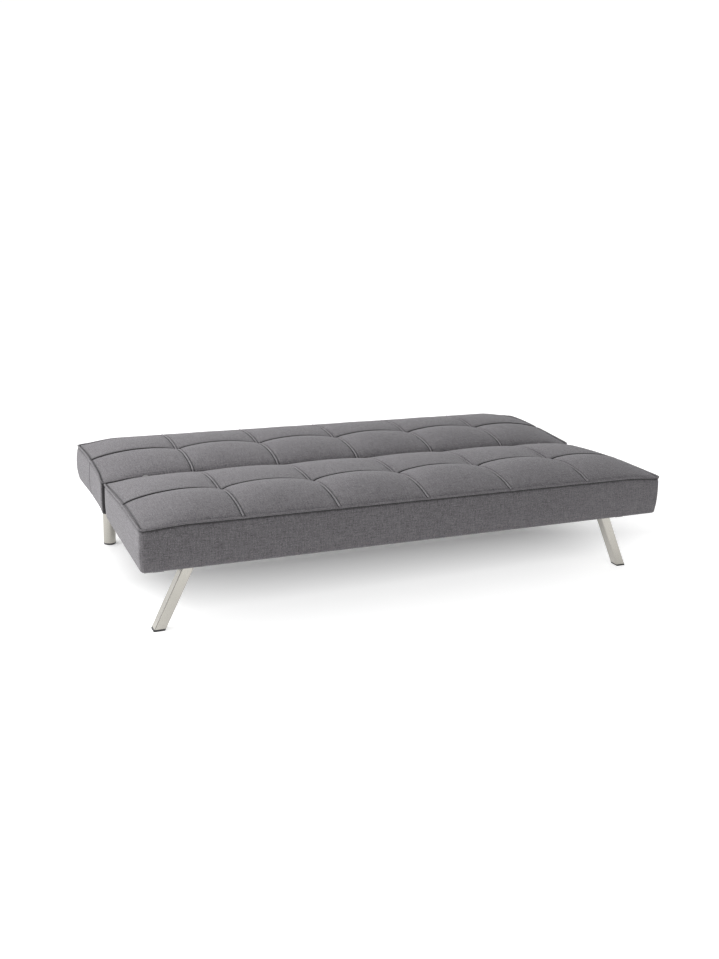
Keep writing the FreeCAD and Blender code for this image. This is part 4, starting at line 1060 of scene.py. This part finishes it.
world = bpy.data.worlds.new("studio")
scene.world = world
world.use_nodes = True
wt = world.node_tree
wt.nodes.clear()


def wnode(kind, **props):
    n = wt.nodes.new(kind)
    for k, v in props.items():
        setattr(n, k, v)
    return n


def wmath(op, a, b=None, c=None, clamp=False):
    n = wnode("ShaderNodeMath", operation=op, use_clamp=clamp)
    for s, v in zip(n.inputs, (a, b, c)):
        if isinstance(v, bpy.types.NodeSocket):
            wt.links.new(v, s)
        elif v is not None:
            s.default_value = v
    return n.outputs[0]


tc = wnode("ShaderNodeTexCoord")
# a soft dome made of broad lobes: bright from the left and from behind, weaker in front
LOBES = [((0, 0, 1), 1.0, 0.10), ((-1, 0, 0.15), 2.0, 0.55), ((-1, 0, 0.15), 8.0, 1.70), ((-0.7, 0.6, 0.4), 4.0, 0.60),
         ((-1, 0.2, 0.55), 6.0, 0.15), ((0, 1, 0.3), 3.0, 2.25), ((0, -0.8, 0.6), 6.0, 0.45),
         ((-0.6, -0.5, 0.6), 6.0, 0.65)]
level = 0.06
for way, power, amount in LOBES:
    d = Vector(way).normalized()
    dot = wnode("ShaderNodeVectorMath", operation="DOT_PRODUCT")
    wt.links.new(tc.outputs["Generated"], dot.inputs[0])
    dot.inputs[1].default_value = d
    lobe = wmath("POWER", wmath("MAXIMUM", dot.outputs["Value"], 0.0), power)
    level = wmath("MULTIPLY_ADD", lobe, amount, level)
lp = wnode("ShaderNodeLightPath")
pick = lp.outputs["Is Camera Ray"]
inv = wmath("SUBTRACT", 1.0, pick)
# polished faces see a darker room, as with flags set beside the legs
level = wmath("MULTIPLY", level, wmath("MULTIPLY_ADD", lp.outputs["Is Glossy Ray"], -0.62, 1.0))
strength = wmath("MULTIPLY_ADD", pick, 1.05, wmath("MULTIPLY", inv, level))
bg = wnode("ShaderNodeBackground")
bg.inputs["Color"].default_value = (1, 1, 1, 1)
wt.links.new(strength, bg.inputs["Strength"])
wo = wnode("ShaderNodeOutputWorld")
wt.links.new(bg.outputs[0], wo.inputs["Surface"])

# one large soft box above the left end
lamp_data = bpy.data.lights.new("soft_box", "AREA")
lamp_data.shape, lamp_data.size, lamp_data.energy = "SQUARE", 1.0, 14.6
lamp = link(bpy.data.objects.new("soft_box", lamp_data))
lamp.location = (-1.4, 0.2, 1.5)
lamp.rotation_mode = "QUATERNION"
lamp.rotation_quaternion = (Vector((0, 0, 0.3)) - Vector((-1.4, 0.2, 1.5))).to_track_quat("-Z", "Y")
lamp.visible_camera = False

# the camera stands where the photograph was taken from
FOCAL_PX, CENTRE_X = 1045.386, 380.0
PITCH_DOWN, YAW, ROLL = 0.280646, 0.437935, 0.037772
fw = Vector((math.sin(YAW) * math.cos(PITCH_DOWN), math.cos(YAW) * math.cos(PITCH_DOWN), -math.sin(PITCH_DOWN)))
rt = Vector((math.cos(YAW), -math.sin(YAW), 0.0))
upv = rt.cross(fw)
r2 = rt * math.cos(ROLL) + upv * math.sin(ROLL)
u2 = upv * math.cos(ROLL) - rt * math.sin(ROLL)
cam_data = bpy.data.cameras.new("camera")
cam = link(bpy.data.objects.new("camera", cam_data))
cam.matrix_world = Matrix((
    (r2.x, u2.x, -fw.x, -1.365352), (r2.y, u2.y, -fw.y, -3.047444), (r2.z, u2.z, -fw.z, 1.221641), (0, 0, 0, 1)))
cam_data.sensor_width = 36.0
cam_data.lens = FOCAL_PX * 36.0 / 959.0
cam_data.shift_x = -(CENTRE_X - 359.5) / 959.0
cam_data.clip_start, cam_data.clip_end = 0.05, 100.0
scene.camera = cam
